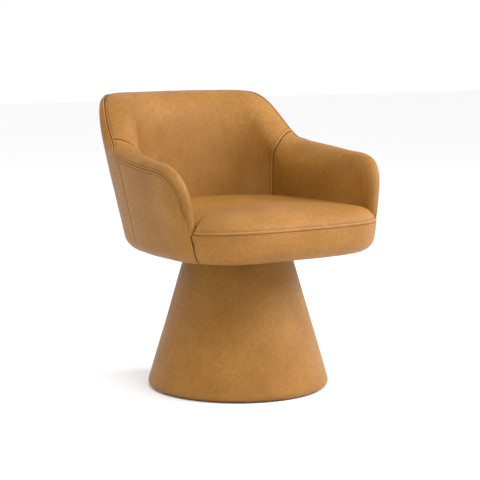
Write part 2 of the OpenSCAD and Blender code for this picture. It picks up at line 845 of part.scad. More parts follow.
module upper_swivel_plate() {
    color("silver") difference() {
        disc(upper_plate_radius, upper_plate_bottom, deck_bottom);
        race();
        disc(pin_radius + pin_clearance, upper_plate_bottom - overrun, deck_bottom + overrun);
        round_the_axis(screw_count, bolt_circle, flange_screw_turn_angle) {
            sunk_screw(
                bolt_radius + air,
                bolt_head_radius + air,
                upper_plate_bottom - air / 4,
                plate_thickness + overrun,
                1
            );
        }
    }
}
module swivel_bolts() {
    color("gray") round_the_axis(screw_count, bolt_circle, flange_screw_turn_angle) {
        sunk_screw(bolt_radius, bolt_head_radius, upper_plate_bottom, bolt_length, 1);
    }
}
module tee_nuts() {
    color("silver") round_the_axis(screw_count, bolt_circle, flange_screw_turn_angle) difference() {
        union() {
            disc(nut_flange_radius, deck_middle, deck_middle + nut_flange_thickness);
            disc(nut_barrel_radius, deck_middle - nut_barrel_length, deck_middle);
        }
        disc(bolt_radius + air, deck_bottom, deck_top);
    }
}

// Deck and frame of the tub

function outline(height, depth) = [for (a = [0:5:355]) let (p = skin(a, height, depth)) [p.x, p.y]];
module deck_board(low, high, plan, depth) {
    translate([0, 0, low]) linear_extrude(height = high - low) polygon(outline(plan, depth));
}
// Depth of the padding's inner face where it rounds under, at a height
function tuck_depth(height) =
    edge_radius + leather / 2
        - sqrt(pow(edge_radius - frame_depth, 2) - pow(max(0, edge_radius + underside_height - height), 2));
deck_step = deck_middle + air + deck_thickness / 2;
module lower_deck() {
    color("burlywood") difference() {
        deck_board(deck_bottom, deck_middle, underside_height, edge_radius + air);
        disc(deck_hole_radius, deck_bottom - overrun, deck_middle + overrun);
        round_the_axis(screw_count, bolt_circle, flange_screw_turn_angle) {
            disc(bolt_radius + air, deck_bottom - overrun, deck_middle);
            disc(nut_barrel_radius + air, deck_middle - nut_barrel_length - air, deck_middle + overrun);
        }
    }
}
// The upper board steps out half way up, so that the padding tucks in below the step
module upper_deck() {
    color("tan") difference() {
        union() {
            deck_board(deck_middle + air, deck_step, deck_middle, tuck_depth(deck_middle));
            deck_board(deck_step, deck_top, deck_step, tuck_depth(deck_step));
        }
        round_the_axis(screw_count, bolt_circle, flange_screw_turn_angle) {
            disc(nut_flange_radius + air, deck_middle, deck_middle + nut_flange_thickness + 2 * air);
        }
        bracket_places() {
            translate([bracket_leg / 2, 0, 0]) screw_hole(deck_top - screw_length - air, deck_top + overrun);
        }
    }
}
module tub_frame() {
    color("saddlebrown") sheet(
        [for (s = whole_run) frame_column(s, frame_depth)],
        [for (s = whole_run) frame_column(s, frame_depth + frame_thickness)]
    );
}
function rail_column(angle, depth) =
    [for (high = [0, front_rail_height]) skin(angle, deck_top + air + high, depth)];
module front_rail() {
    color("saddlebrown") sheet(
        [for (a = front_marks) rail_column(a, frame_depth)],
        [for (a = front_marks) rail_column(a, frame_depth + frame_thickness)]
    );
}
// The corner of a bracket stands on the deck at the frame's inner face, its leg pointing inwards
module bracket_places() {
    for (a = bracket_angles) {
        corner = skin(a, deck_top, lining_depth + bracket_gap);
        inward = skin(a, deck_top, lining_depth + bracket_leg) - corner;
        translate([corner.x, corner.y, 0]) rotate([0, 0, atan2(inward.y, inward.x)]) children();
    }
}
module frame_brackets() {
    color("silver") bracket_places() {
        difference() {
            translate([0, -bracket_width / 2, deck_top]) {
                cube([bracket_leg, bracket_width, bracket_thickness]);
            }
            translate([bracket_leg / 2, 0, 0]) {
                screw_hole(deck_top - overrun, deck_top + bracket_thickness + overrun);
            }
        }
        translate([0, -bracket_width / 2, deck_top]) cube([bracket_thickness, bracket_width, bracket_leg]);
    }
}
module bracket_screws() {
    color("gray") bracket_places() {
        translate([bracket_leg / 2, 0, deck_top + bracket_thickness]) mirror([0, 0, 1]) screw_up(0);
    }
}

// Foams of the tub

module outer_padding() {
    color("khaki") sheet(
        [for (s = whole_run) padding_column(s, padding_depth)],
        [for (s = whole_run) padding_column(s, padding_depth + padding)]
    );
}
function band_column(angle, depth, stop) =
    concat(
        [for (t = steps(4)) skin(angle, edge(0, t, depth)[1], edge(0, t, depth)[2])],
        [for (t = steps(2)) if (t > 0) skin(angle, mix(underside_height + edge_radius, stop, t), depth)]
    );
module front_padding() {
    color("khaki") sheet(
        [for (a = front_marks) band_column(a, padding_depth, seam_height - air)],
        [for (a = front_marks) band_column(a, padding_depth + padding, seam_height - air)]
    );
}
module back_foam() {
    color("khaki") wall_foam(inside_back_run);
}
module right_arm_foam() {
    color("khaki") wall_foam(inside_arm_run);
}
module left_arm_foam() {
    color("khaki") wall_foam(left_of(inside_arm_run));
}
module seat_foam() {
    low = deck_top + air;
    rail_top = deck_top + front_rail_height + 3 * air;
    inset = leather + air;
    clear_depth = lining_depth + bracket_leg + bracket_gap + seat_gap;
    rings = concat(
        [seat_level(clear_depth, inset, low)],
        [seat_level(clear_depth, inset, rail_top)],
        [seat_level(frame_depth, inset, rail_top + air)],
        [seat_level(frame_depth, inset, seam_height)],
        seat_rings(inset)
    );
    middle_height = seat_shoulder_height + seat_crown - inset;
    color("khaki") stack(rings, concat(seat_middle, [middle_height]), concat(seat_middle, [low]));
}

// Covers of the tub

module outside_back_cover() {
    color("peru") outer_cover(seamed(outside_back_run));
}
module right_outside_arm_cover() {
    color("peru") outer_cover(arm_run);
}
module left_outside_arm_cover() {
    color("peru") outer_cover(left_of(arm_run));
}
module inside_back_cover() {
    color("peru") inner_cover(seamed(inside_back_run));
}
module right_inside_arm_cover() {
    color("peru") inner_cover(inside_arm_run);
}
module left_inside_arm_cover() {
    color("peru") inner_cover(left_of(inside_arm_run));
}
function band_cover_column(angle, depth) =
    concat(
        [skin(angle, underside_height + depth, edge_radius + turned_margin)],
        band_column(angle, depth, seam_height)
    );
module front_band_cover() {
    color("peru") sheet(
        [for (a = front_marks) band_cover_column(a, 0)],
        [for (a = front_marks) band_cover_column(a, leather)]
    );
}
module seat_top_cover() {
    rings = concat(reversed(seat_rings(leather)), seat_rings(0));
    face_height = seat_shoulder_height + seat_crown;
    rear_height = face_height - leather;
    face_middle = concat(seat_middle, [face_height]);
    color("peru") stack(rings, face_middle, concat(seat_middle, [rear_height]), crossed = true);
}
module dust_cover() {
    high = deck_bottom - air;
    low = high - dust_cover_thickness;
    color("dimgray") difference() {
        deck_board(low, high, underside_height, edge_radius + turned_margin + leather);
        disc(rim_opening_radius, low - overrun, high + overrun);
    }
}

floor_pad();
ballast_plate();
ballast_screws();
bottom_board();
column_foot_flange();
column_foot_screws();
column_tube();
column_top_flange();
column_top_screws();
top_board();
cone_core();
cone_foam();
cone_cover();
lower_swivel_plate();
lower_plate_screws();
king_pin();
pin_washer();
ball_cage();
bearing_balls();
upper_swivel_plate();
swivel_bolts();
tee_nuts();
lower_deck();
upper_deck();
tub_frame();
front_rail();
frame_brackets();
bracket_screws();
outer_padding();
front_padding();
back_foam();
left_arm_foam();
right_arm_foam();
seat_foam();
outside_back_cover();
left_outside_arm_cover();
right_outside_arm_cover();
inside_back_cover();
left_inside_arm_cover();
right_inside_arm_cover();
front_band_cover();
seat_top_cover();
dust_cover();
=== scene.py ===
# %% [markdown]
# # A leather tub chair that turns on a cone
# The real chair is a moulded tub, padded and covered in tan leather, which turns on a cone that
# wears the same leather. The construction, its sizes and its joints are already settled in the
# frame, so this lesson only dresses it. Each cover is worked out as a surface with numpy, sewn to
# its neighbours with real grooves and stitches, and finished with materials made of nodes.

import bpy
import numpy as np
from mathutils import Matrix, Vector


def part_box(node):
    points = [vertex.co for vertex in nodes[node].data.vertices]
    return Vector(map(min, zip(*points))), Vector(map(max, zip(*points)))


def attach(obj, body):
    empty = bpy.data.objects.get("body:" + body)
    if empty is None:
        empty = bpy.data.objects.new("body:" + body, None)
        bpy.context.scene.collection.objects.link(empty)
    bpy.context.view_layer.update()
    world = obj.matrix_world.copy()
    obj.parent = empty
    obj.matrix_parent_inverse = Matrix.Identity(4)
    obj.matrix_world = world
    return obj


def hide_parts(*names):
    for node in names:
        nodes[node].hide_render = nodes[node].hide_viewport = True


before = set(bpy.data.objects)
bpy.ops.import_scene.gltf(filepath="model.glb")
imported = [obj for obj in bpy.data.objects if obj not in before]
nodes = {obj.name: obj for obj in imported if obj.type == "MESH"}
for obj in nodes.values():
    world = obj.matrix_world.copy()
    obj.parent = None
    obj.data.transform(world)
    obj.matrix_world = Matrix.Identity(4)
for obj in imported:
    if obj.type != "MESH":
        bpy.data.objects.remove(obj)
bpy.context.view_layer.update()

# %% [markdown]
# ## The sizes of the tub
# A tub chair is drawn as a plan, a rounded square that grows with the height, and as a rim line
# that climbs from the arms to the back. The same few sizes give every cover, so they are kept in
# one place, in metres. Heights that the frame can tell are asked from it. A name that ends in
# share is a part of a length or of a way, from 0 to 1 or a little more.

# %% Sizes of the tub
half_width = 0.3105
front_reach = 0.214
back_reach = 0.378
plan_lead = 0.095
front_squareness = 3.25
back_squareness = 2.9
side_flare = 0.17
front_flare = 0.05
back_flare = 0.28

underside_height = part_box("front_band_cover")[0].z
seam_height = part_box("front_band_cover")[1].z
deck_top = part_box("upper_deck")[1].z
plan_height = underside_height + 0.112
arm_height = seam_height + 0.172
arm_rise = 0.024
back_height = arm_height + arm_rise + 0.130
edge_radius = 0.034
turned_margin = 0.020
bracket_leg = 0.020
air = 0.0003
foam_foot = deck_top + bracket_leg + 2 * air

leather = 0.0016
padding = 0.006
frame_thickness = 0.010
padding_depth = leather + air
frame_depth = padding_depth + padding + air
lining_depth = frame_depth + frame_thickness + air
print("the tub stands from", round(underside_height, 4), "to", round(back_height, 4))

# %% Sizes of the rim, as plan angles in degrees and thicknesses in metres
foot_angle = 65
arm_angle = 92
wing_angle = 127.5
crown_angle = 149
climb_quickness = 0.4
arm_roundness = 2.8
arm_thickness = 0.040
back_thickness = 0.095
base_thickness = 0.044
foot_thickness = lining_depth + 0.0025 + padding_depth
foot_growth_angle = 24
back_lead_angle = 20
arm_outer_roll = 0.024
back_outer_roll = 0.026
arm_inner_roll = 0.026
back_inner_roll = 0.052
arm_share = 0.22
outside_seam_share = 0.43
inside_seam_share = 0.560
inside_foot_angle = 8
wall_curve_power = 1.5
wall_curve_round = 0.15
foot_roll_share = 0.3
foot_taper_share = 0.035
back_roll_power = 0.75
seam_foot_turn = 6
seam_curve_turn = 6
seam_arm_turn = 6
seam_wing_turn = 63
seam_back_turn = 50
seam_climb_start = 115
seam_climb_end = 129
seam_back_start = 138
seam_back_end = 153
seam_gap_turn = 0.5
seam_gap_share = 0.0006
half_turn = 180
probe_angle = 0.06
probe_share = 0.001
print("the rim runs from", foot_angle, "degrees round to", half_turn)

# %% [markdown]
# ## One skin for the whole tub
# Every layer of the tub lies on one surface, given by an angle round the plan, a height and a
# depth below the leather's face. It could be sculpted by hand, but a formula keeps the covers,
# the foams and the frame an exact distance apart, so nothing pokes through anything else.


# %% The skin
def ease(t):
    """Slow at both ends: three squares less two cubes of t, held between 0 and 1."""
    u = np.clip(t, 0, 1)
    return u * u * (3 - 2 * u)


def mix(first, second, t):
    """First plus t times the step from first to second."""
    return first + (second - first) * t


def plan_radius(angle, height):
    """Distance from the plan's centre: one over the root of the sum of the powers of sine by
    half width and cosine by reach, with its own reach and power ahead and behind."""
    rise = height - plan_height
    turn = np.radians(angle)
    ahead = np.cos(turn) > 0
    side = half_width + side_flare * rise
    reach = np.where(ahead, front_reach + front_flare * rise, back_reach + back_flare * rise)
    power = np.where(ahead, front_squareness, back_squareness)
    across = np.abs(np.sin(turn)) / side
    along = np.abs(np.cos(turn)) / reach
    return (across ** power + along ** power) ** (-1 / power)


def skin(angle, height, depth):
    """Point of the plan curve at an angle and a height, moved inwards by the depth, square to
    the curve in plan."""
    turn = np.radians(angle)
    radius = plan_radius(angle, height)
    wider = plan_radius(angle + probe_angle, height) - plan_radius(angle - probe_angle, height)
    growth = wider / (2 * np.radians(probe_angle))
    along_x = growth * np.sin(turn) + radius * np.cos(turn)
    along_y = radius * np.sin(turn) - growth * np.cos(turn)
    size = np.hypot(along_x, along_y)
    x = radius * np.sin(turn) - along_y / size * depth
    y = -plan_lead - radius * np.cos(turn) + along_x / size * depth
    return np.stack([x, y, height + 0 * x], axis=-1)


print("half the tub's width at its plan height:", round(float(skin(90, plan_height, 0)[0]), 4))


# %% The rim
def rim_line(angle):
    """Height of the rim over the plan angle: the arm's slow rise, then a climb that mixes an
    eased curve with a quarter sine, which starts with a knee and ends softly."""
    rise = arm_rise * np.clip((angle - arm_angle) / (wing_angle - arm_angle), 0, 1)
    share = np.clip((angle - wing_angle) / (crown_angle - wing_angle), 0, 1)
    climb = mix(ease(share), np.sin(np.pi / 2 * share), climb_quickness)
    return arm_height + rise + (back_height - arm_height - arm_rise) * climb


def first_share(share):
    """How far a share of the rim has come round the arm's curved front, from 0 to 1."""
    return np.clip(share / arm_share, 0, 1)


def rim_angle(share):
    """Plan angle along the rim: a rounded corner at the arm's front, then an even run."""
    corner = np.cos(np.pi / 2 * first_share(share)) ** (2 / arm_roundness)
    curve = arm_angle - (arm_angle - foot_angle) * corner
    run = mix(arm_angle, half_turn, (share - arm_share) / (1 - arm_share))
    return np.where(share < arm_share, curve, run)


def rim_height(share):
    """Height along the rim: up from the seam round the same corner, then on the rim line."""
    climb = np.sin(np.pi / 2 * first_share(share)) ** (2 / arm_roundness)
    climb = np.where(share < arm_share, climb, 1.0)
    return seam_height + (rim_line(rim_angle(share)) - seam_height) * climb


def rim_outward(share):
    """Unit direction from the wall to the crest: the rim's own direction, turned a quarter."""
    low = np.maximum(0, share - probe_share)
    high = np.minimum(1, share + probe_share)
    run = np.radians(rim_angle(high) - rim_angle(low)) * half_width
    climb = rim_height(high) - rim_height(low)
    size = np.hypot(run, climb)
    return -climb / size, run / size


def toward_back(angle):
    """0 at the arm's foot, 1 on the back, eased between."""
    return ease((angle - foot_angle) / (crown_angle - back_lead_angle - foot_angle))


def past_foot(angle):
    """0 at the arm's front end, 1 where the wall has its full thickness."""
    return np.clip((angle - foot_angle) / foot_growth_angle, 0, 1)


def foot_of_wall(angle):
    """Thickness at the deck: thin at the arm's front end, then eased to the base thickness."""
    return mix(foot_thickness, base_thickness, ease(past_foot(angle)))


def wall_thickness(angle, height):
    """Thickness at the deck and rim thickness below the roll, mixed by a power of the height
    whose upper end is rounded off so that the lining runs smoothly into the roll."""
    rim = mix(arm_thickness, back_thickness, toward_back(angle))
    top = rim_line(angle) - mix(arm_inner_roll, back_inner_roll, toward_back(angle))
    up = np.clip((height - deck_top) / (top - deck_top), 0, 1)
    left = np.hypot(1 - up ** wall_curve_power, wall_curve_round) - wall_curve_round
    whole = np.hypot(1, wall_curve_round) - wall_curve_round
    return mix(foot_of_wall(angle), rim, 1 - left / whole)


def roll(share, turn, depth):
    """Place on the rim's half round: the crest rises with the sine of the turn and crosses the
    wall with its cosine, from the outer edge at turn 0 to the inner edge at turn 180."""
    angle = rim_angle(share)
    out = rim_outward(share)
    back = toward_back(angle)
    taper = mix(foot_roll_share, 1, ease(share / foot_taper_share))
    outer = mix(arm_outer_roll, back_outer_roll, back)
    inner = mix(arm_inner_roll, back_inner_roll, back)
    tall = np.where(turn < half_turn / 2, outer, inner) * taper
    power = np.where(turn < half_turn / 2, mix(1, back_roll_power, back), 1.0)
    sine = np.abs(np.sin(np.radians(turn)))
    cosine = np.cos(np.radians(turn))
    up = sine ** power * (tall - depth) - tall
    over = np.sign(cosine) * np.abs(cosine) ** power
    place_angle = angle + np.degrees(out[0] * up / half_width)
    place_height = rim_height(share) + out[1] * up
    thick = wall_thickness(angle, rim_height(share) - out[1] * inner * taper)
    return place_angle, place_height, thick / 2 - (thick / 2 - depth) * over


def foot_line(share):
    """Plan angle at the foot of the wall below a share of the rim."""
    return mix(foot_angle, half_turn, share)


def seam_turn(share):
    """Turn of the half round on which the outer seam lies, from the arm's foot to the back."""
    curve = mix(seam_foot_turn, seam_curve_turn, ease(share / foot_taper_share))
    arm = mix(curve, seam_arm_turn, ease((share - arm_share) / foot_taper_share))
    climb = (rim_angle(share) - seam_climb_start) / (seam_climb_end - seam_climb_start)
    wing = mix(arm, seam_wing_turn, ease(climb))
    past = (rim_angle(share) - seam_back_start) / (seam_back_end - seam_back_start)
    return mix(wing, seam_back_turn, ease(past))


print("the back's rim is", round(float(rim_height(np.array(1.0))), 4), "high")

# %% [markdown]
# ## Columns, rows and their spacing
# A cover is cut from flat leather and sewn along its edges, so what the eye sees first is the
# groove at each seam. An even grid would need millions of faces to hold a groove of two
# millimetres. Here each grid is spaced by its own arc length instead: tight rows within a
# finger's breadth of the edges, and wide ones in the field between them.

# %% Spacing by arc length
edge_zone = 0.014
edge_zone_most_share = 0.3
edge_rows = 18
field_spacing = 0.006
fine_rows = 60
fine_stations = 3001
tiny = 1e-9


def spaced(length, field_count, near=True, far=True):
    """Distances along lines of the given lengths: even steps in a zone at each crowded end, and
    even steps in the field between them. One line of marks for each length."""
    length = np.asarray(length, float).reshape(-1, 1)
    zone = np.minimum(edge_zone, length * edge_zone_most_share)
    close = np.linspace(0, 1, edge_rows)[None, :]
    low = zone if near else 0 * zone
    high = length - (zone if far else 0 * zone)
    field = mix(low, high, np.linspace(0, 1, field_count)[None, :])
    parts = [zone * close[:, :-1]] if near else []
    parts.append(field)
    if far:
        parts.append((length - zone * close[:, ::-1])[:, 1:])
    return np.concatenate(parts, axis=1)


def run_of(points, axis):
    """Arc length along one axis of a grid of points, from its first line."""
    step = np.linalg.norm(np.diff(points, axis=axis), axis=-1)
    start = np.zeros_like(np.take(step, [0], axis=axis))
    return np.concatenate([start, np.cumsum(step, axis=axis)], axis=axis)


def resample(points, distance):
    """Points at given distances along each column, mixed between the two points beside them."""
    run = run_of(points, 1)
    index = (run[:, None, :] <= distance[:, :, None]).sum(axis=2) - 1
    index = np.clip(index, 0, points.shape[1] - 2)
    low = np.take_along_axis(run, index, axis=1)
    high = np.take_along_axis(run, index + 1, axis=1)
    t = np.clip((distance - low) / np.maximum(high - low, tiny), 0, 1)
    first = np.take_along_axis(points, index[..., None], axis=1)
    second = np.take_along_axis(points, index[..., None] + 1, axis=1)
    return mix(first, second, t[..., None])


def even(points, count):
    """The same columns with evenly spaced rows."""
    length = run_of(points, 1)[:, -1:]
    return resample(points, length * np.linspace(0, 1, count)[None, :])


def smoothed(points, axis, reach):
    """Gaussian mean along one axis with a reach in rows. Past each end the line is continued as
    its own point reflection, so the two ends stay where they are."""
    lines = np.moveaxis(points, axis, 0)
    width = int(3 * reach) + 1
    before = 2 * lines[:1] - lines[width:0:-1]
    after = 2 * lines[-1:] - lines[-2:-width - 2:-1]
    long = np.concatenate([before, lines, after])
    weights = np.exp(-0.5 * (np.arange(-width, width + 1) / reach) ** 2)
    weights /= weights.sum()
    mean = sum(w * long[k:k + len(lines)] for k, w in enumerate(weights))
    return np.moveaxis(mean, 0, axis)


def cubic(grid, across, down):
    """Values of a grid at places between its lines: four by four neighbours, weighted by the
    Catmull-Rom cubic of the distance to each."""
    i, j = np.floor(across).astype(int), np.floor(down).astype(int)
    total = 0
    weights = []
    for t in (across - i, down - j):
        weights.append((
            ((2 - t) * t - 1) * t / 2, ((3 * t - 5) * t * t + 2) / 2,
            ((4 - 3 * t) * t + 1) * t / 2, (t - 1) * t * t / 2,
        ))
    for a, first in enumerate(weights[0]):
        for b, second in enumerate(weights[1]):
            column = np.clip(i + a - 1, 0, grid.shape[0] - 1)
            row = np.clip(j + b - 1, 0, grid.shape[1] - 1)
            total = total + (first * second)[..., None] * grid[column, row]
    return total


def rim_stations(first, last, near=True, far=True):
    """Stations from first to last, spaced by the arc length of the rim between them. A station
    runs from the right arm's front end (0) over the back (1) to the left one (2)."""
    fine = np.linspace(first, last, fine_stations)
    share = 1 - np.abs(1 - fine)
    crest = np.stack([np.radians(rim_angle(share)) * half_width, rim_height(share)], axis=-1)
    run = run_of(crest[None], 1)[0]
    count = int(run[-1] / field_spacing)
    marks = spaced(run[-1], count, near, far)[0]
    return np.interp(marks, run, fine)


print("stations round the whole rim:", len(rim_stations(0, 2)))


# %% The columns of the covers
def on_side(points, station):
    """The same points, mirrored in x where the station lies past the middle of the back."""
    mirrored = points.copy()
    mirrored[..., 0] *= np.where(station <= 1, 1.0, -1.0)[:, None]
    return mirrored


def outer_form(share, depth):
    """Up the outside: the margin under the tub, a quarter round, the wall as a straight mix of
    its two ends, and the roll up to the outer seam."""
    t = np.linspace(0, 1, fine_rows)[None, :]
    foot = foot_line(share)
    round_middle = underside_height + edge_radius
    quarter = np.pi / 2 * t
    low = (foot, round_middle, depth)
    high = roll(share, 0.0, depth)
    stop = seam_turn(share) - seam_gap_turn
    lift = round_middle - (edge_radius - depth) * np.cos(quarter)
    inset = edge_radius - (edge_radius - depth) * np.sin(quarter)
    parts = [
        skin(foot, underside_height + depth, edge_radius + turned_margin * (1 - t)),
        skin(foot, lift, inset),
        skin(*[mix(a, b, t) for a, b in zip(low, high)]),
        skin(*roll(share, stop * t, depth)),
    ]
    return np.concatenate(parts, axis=1)


lining_rows = 240
arm_softening = 0.006
back_softening = 0.020


def softened(points, share):
    """Foam rounds off every corner of the form below it, the thick back more than the arms: a
    Gaussian mean down each column, from a short reach on the arms to a long one on the back."""
    length = run_of(points, 1)[:, -1:]
    rows = resample(points, length * np.linspace(0, 1, lining_rows)[None, :])
    pitch = float(length.mean()) / lining_rows
    little = smoothed(rows, 1, arm_softening / pitch)
    much = smoothed(rows, 1, back_softening / pitch)
    return mix(little, much, toward_back(rim_angle(share))[..., None])


def inner_form(share, depth):
    """Over the crest from the outer seam, down the lining, whose foot leads the rim by a few
    degrees, and on down to the deck behind the seat."""
    t = np.linspace(0, 1, fine_rows)[None, :]
    start = seam_turn(share) + seam_gap_turn
    high = roll(share, float(half_turn), depth)
    foot = foot_line(share) + inside_foot_angle * np.sin(np.pi * share)
    angle = mix(high[0], foot, t)
    height = mix(high[1], foam_foot, t)
    last = mix(foam_foot, deck_top + air, t)
    parts = [
        skin(*roll(share, mix(start, float(half_turn), t), depth)),
        skin(angle, height, wall_thickness(angle, height) - depth),
        skin(foot + 0 * t, last, foot_of_wall(foot) - depth),
    ]
    return softened(np.concatenate(parts, axis=1), share)


# %% One form all round, and columns picked from it
form_count = 501
arm_rounding = 0.006
rounding_start = 120
back_rounding = 0.026
swing_most = 0.020
swing_reach = 0.12
swing_crest = 0.3
swing_left_at_deck = 0.0
forms = {}


def bell(distance, middle, width):
    """One at the middle, falling off with the square of the distance over the width."""
    return np.exp(-((distance - middle) / width) ** 2)


def whole_form(make, depth):
    """A form on even stations all round the rim, with a Gaussian mean from column to column that
    rounds the corners of the plan, more on the back than on the arms. Each is made once."""
    if (make, depth) not in forms:
        fine = np.linspace(0, 2, form_count)
        share = (1 - np.abs(1 - fine))[:, None]
        grid = on_side(make(share, depth), fine)
        pitch = float(np.linalg.norm(np.diff(grid[:, -fine_rows], axis=0), axis=-1).mean())
        little, much = (smoothed(grid, 0, reach / pitch) for reach in (arm_rounding, back_rounding))
        past_wing = ease((rim_angle(share) - rounding_start) / (crown_angle - rounding_start))
        forms[make, depth] = mix(little, much, past_wing[..., None])
    return forms[make, depth]


def columns_of(make, station, depth):
    """Columns of a form at any stations, by cubic mixing between its own. The stations may
    change from row to row."""
    grid = whole_form(make, depth)
    row = np.arange(grid.shape[1])
    across = station / 2 * (form_count - 1) + 0.0 * row
    return cubic(grid, across, row + 0.0 * across)


def seam_swing(station, down):
    """How far the inside columns swing towards the arms: a bell curve of the station round each
    inside seam, times a share that eases in over the crest and falls to a part at the deck."""
    side = np.where(station <= 1, 1.0, -1.0)
    share = 1 - np.abs(1 - station)
    fall = mix(1, swing_left_at_deck, np.clip((down - swing_crest) / (1 - swing_crest), 0, 1))
    most = -side * swing_most * bell(share, inside_seam_share, swing_reach)
    return most * ease(down / swing_crest) * fall


def outer_columns(station, depth):
    """Columns of the outside covers."""
    return columns_of(outer_form, station[:, None], depth)


def inner_columns(station, depth):
    """Columns of the inside covers, which swing a little round the inside seams."""
    station = station[:, None]
    down = np.linspace(0, 1, lining_rows)[None, :]
    return columns_of(inner_form, station + seam_swing(station, down), depth)


print("the outer form is", whole_form(outer_form, 0.0).shape[:2])

# %% [markdown]
# ## Seams as relief
# Where two hides are sewn together, both turn in and leave a narrow valley. A row of topstitching
# beside it pulls the leather down a second time, with a small ridge between the two. A bump map
# could fake this, but the valley then vanishes from the outline and from the meshes, so the relief
# is real: the surface moves along its normal by a sum of bell curves of the distance to each seam.
# Where a panel is pinched at its corner, the normals of a few lines further in are used.

# %% Relief
groove_depth = 0.0016
groove_width = 0.0012
ridge_height = 0.0013
stitch_dip = 0.0010
stitch_dip_width = 0.0012
line_width = 0.0009
plain_line_width = 0.0016
ridge_place_share = 0.55
ridge_width_share = 0.25
dip_shade_share = 0.35
# Share of the ridge's paler tone, partly wear and partly a painted highlight.
ridge_wear_and_highlight_share = 0.8
pillow_height = 0.0016
pillow_reach = 0.040


def seam_relief(distance, stitch_offset):
    """Depth of a seam's valley, and where it is topstitched, a ridge and a second valley at the
    stitches' offset. Gives the movement and a mask from 0, plain, to 1, the darkest line, which is
    painted dust and shade; the crest of the ridge counts below 0, for a paler tone that is partly
    wear and partly a painted highlight."""
    valley = bell(distance, 0, groove_width)
    line = bell(distance, 0, line_width)
    if stitch_offset is None:
        return -groove_depth * valley, bell(distance, 0, plain_line_width)
    ridge = bell(distance, stitch_offset * ridge_place_share, stitch_offset * ridge_width_share)
    second = bell(distance, stitch_offset, stitch_dip_width)
    move = -groove_depth * valley + ridge_height * ridge - stitch_dip * second
    return move, line + dip_shade_share * second - ridge_wear_and_highlight_share * ridge * (1 - line)


def normals(points):
    """Unit cross product of the grid's two directions."""
    across = np.gradient(points, axis=0)
    down = np.gradient(points, axis=1)
    square = np.cross(across, down)
    return square / np.maximum(np.linalg.norm(square, axis=-1, keepdims=True), 1e-12)


slow_wave = 0.00018
quick_wave = 0.00006


def softness(points):
    """Slow waves of hand upholstery: a sum of a few sines of the place, under a millimetre."""
    x, y, z = points[..., 0], points[..., 1], points[..., 2]
    slow = np.sin(31 * x + 17 * z) + np.sin(23 * y - 29 * z + 1.3) + np.sin(19 * x - 37 * y + 0.6)
    quick = np.sin(83 * x + 61 * y) + np.sin(71 * z - 59 * x + 2.1)
    return slow_wave * slow + quick_wave * quick


allowance = 0.006
allowance_rows = 3
corner_fade = 0.010
held_lines = 6


def held_normals(points):
    """Normals whose outermost lines copy those a few lines further in, because a grid that is
    pinched at a corner has no clear normal there."""
    square = normals(points)
    across, down = (
        np.clip(np.arange(count), held_lines, count - 1 - held_lines) for count in square.shape[:2]
    )
    return square[across][:, down]


def turned_in(points, square, dark, axis, at_end):
    """The seam allowance: a few rows past a sewn edge that go straight in behind it, so that no
    light shows between two covers. It narrows to nothing at both ends of the edge."""
    edge = -1 if at_end else 0
    line = np.take(points, [edge], axis=axis)
    run = run_of(line, 1 - axis)
    length = np.take(run, [-1], axis=1 - axis)
    fade = ease(np.minimum(run, length - run) / corner_fade)[..., None]
    steps = allowance * np.arange(1, allowance_rows + 1) / allowance_rows
    shape = [1, 1, 1]
    shape[axis] = allowance_rows
    inwards = steps.reshape(shape) * np.take(square, [edge], axis=axis) * fade
    deep = line - inwards
    # The turned-in rows keep the edge's darkest mask: painted shade in the crack of the seam.
    shade = np.repeat(np.take(dark, [edge], axis=axis), allowance_rows, axis=axis)
    same = np.repeat(np.take(square, [edge], axis=axis), allowance_rows, axis=axis)
    if at_end:
        pairs = ((points, deep), (square, same), (dark, shade))
    else:
        pairs = ((np.flip(deep, axis), points), (same, square), (shade, dark))
    return [np.concatenate(pair, axis=axis) for pair in pairs]


def dress(points, seams):
    """Moves a grid along its normals. Seams gives, for the four edges (first column, last
    column, first row, last row), None for a hidden edge, 0 for a plain seam, or the offset of
    its topstitching. Each sewn edge is turned in. Gives the new points, the mask of the dark
    lines and the points before the edges are turned in."""
    across = run_of(points, 0)
    down = run_of(points, 1)
    distances = (across, across[-1:] - across, down, down[:, -1:] - down)
    move = softness(points)
    dark = np.zeros(points.shape[:2])
    nearest = np.full(points.shape[:2], pillow_reach * 3)
    for distance, offset in zip(distances, seams):
        if offset is None:
            continue
        valley, line = seam_relief(distance, offset or None)
        move = move + valley
        dark = np.where(np.abs(line) > np.abs(dark), line, dark)
        nearest = np.minimum(nearest, distance)
    move = move + pillow_height * (1 - np.exp(-nearest / pillow_reach))
    square = held_normals(points)
    plain = points + square * move[..., None]
    whole = [plain, square, dark]
    for edge, offset in enumerate(seams):
        if offset is not None:
            whole = turned_in(*whole, edge // 2, edge % 2 == 1)
    return whole[0], whole[2], plain


print("a seam's valley is", groove_depth * 1000, "mm deep")

# %% [markdown]
# ## Letting the leather swell
# Foam pushes the leather out between its seams, most in the middle of each field. That swelling
# could be a formula, but a cloth under pressure finds the true shape of a sewn panel, with its
# pull towards the corners. So a coarse copy of each panel is pinned along its seams, blown up a
# little by Blender's cloth, and its movement is carried back to the fine grid by cubic mixing.

# %% Cloth under pressure
cloth_pitch = 0.013
cloth_pressure = 4.0
cloth_stretch_stiffness = 20
cloth_bending_stiffness = 2
cloth_frames = 20
fewest_lines, most_lines = 8, 60


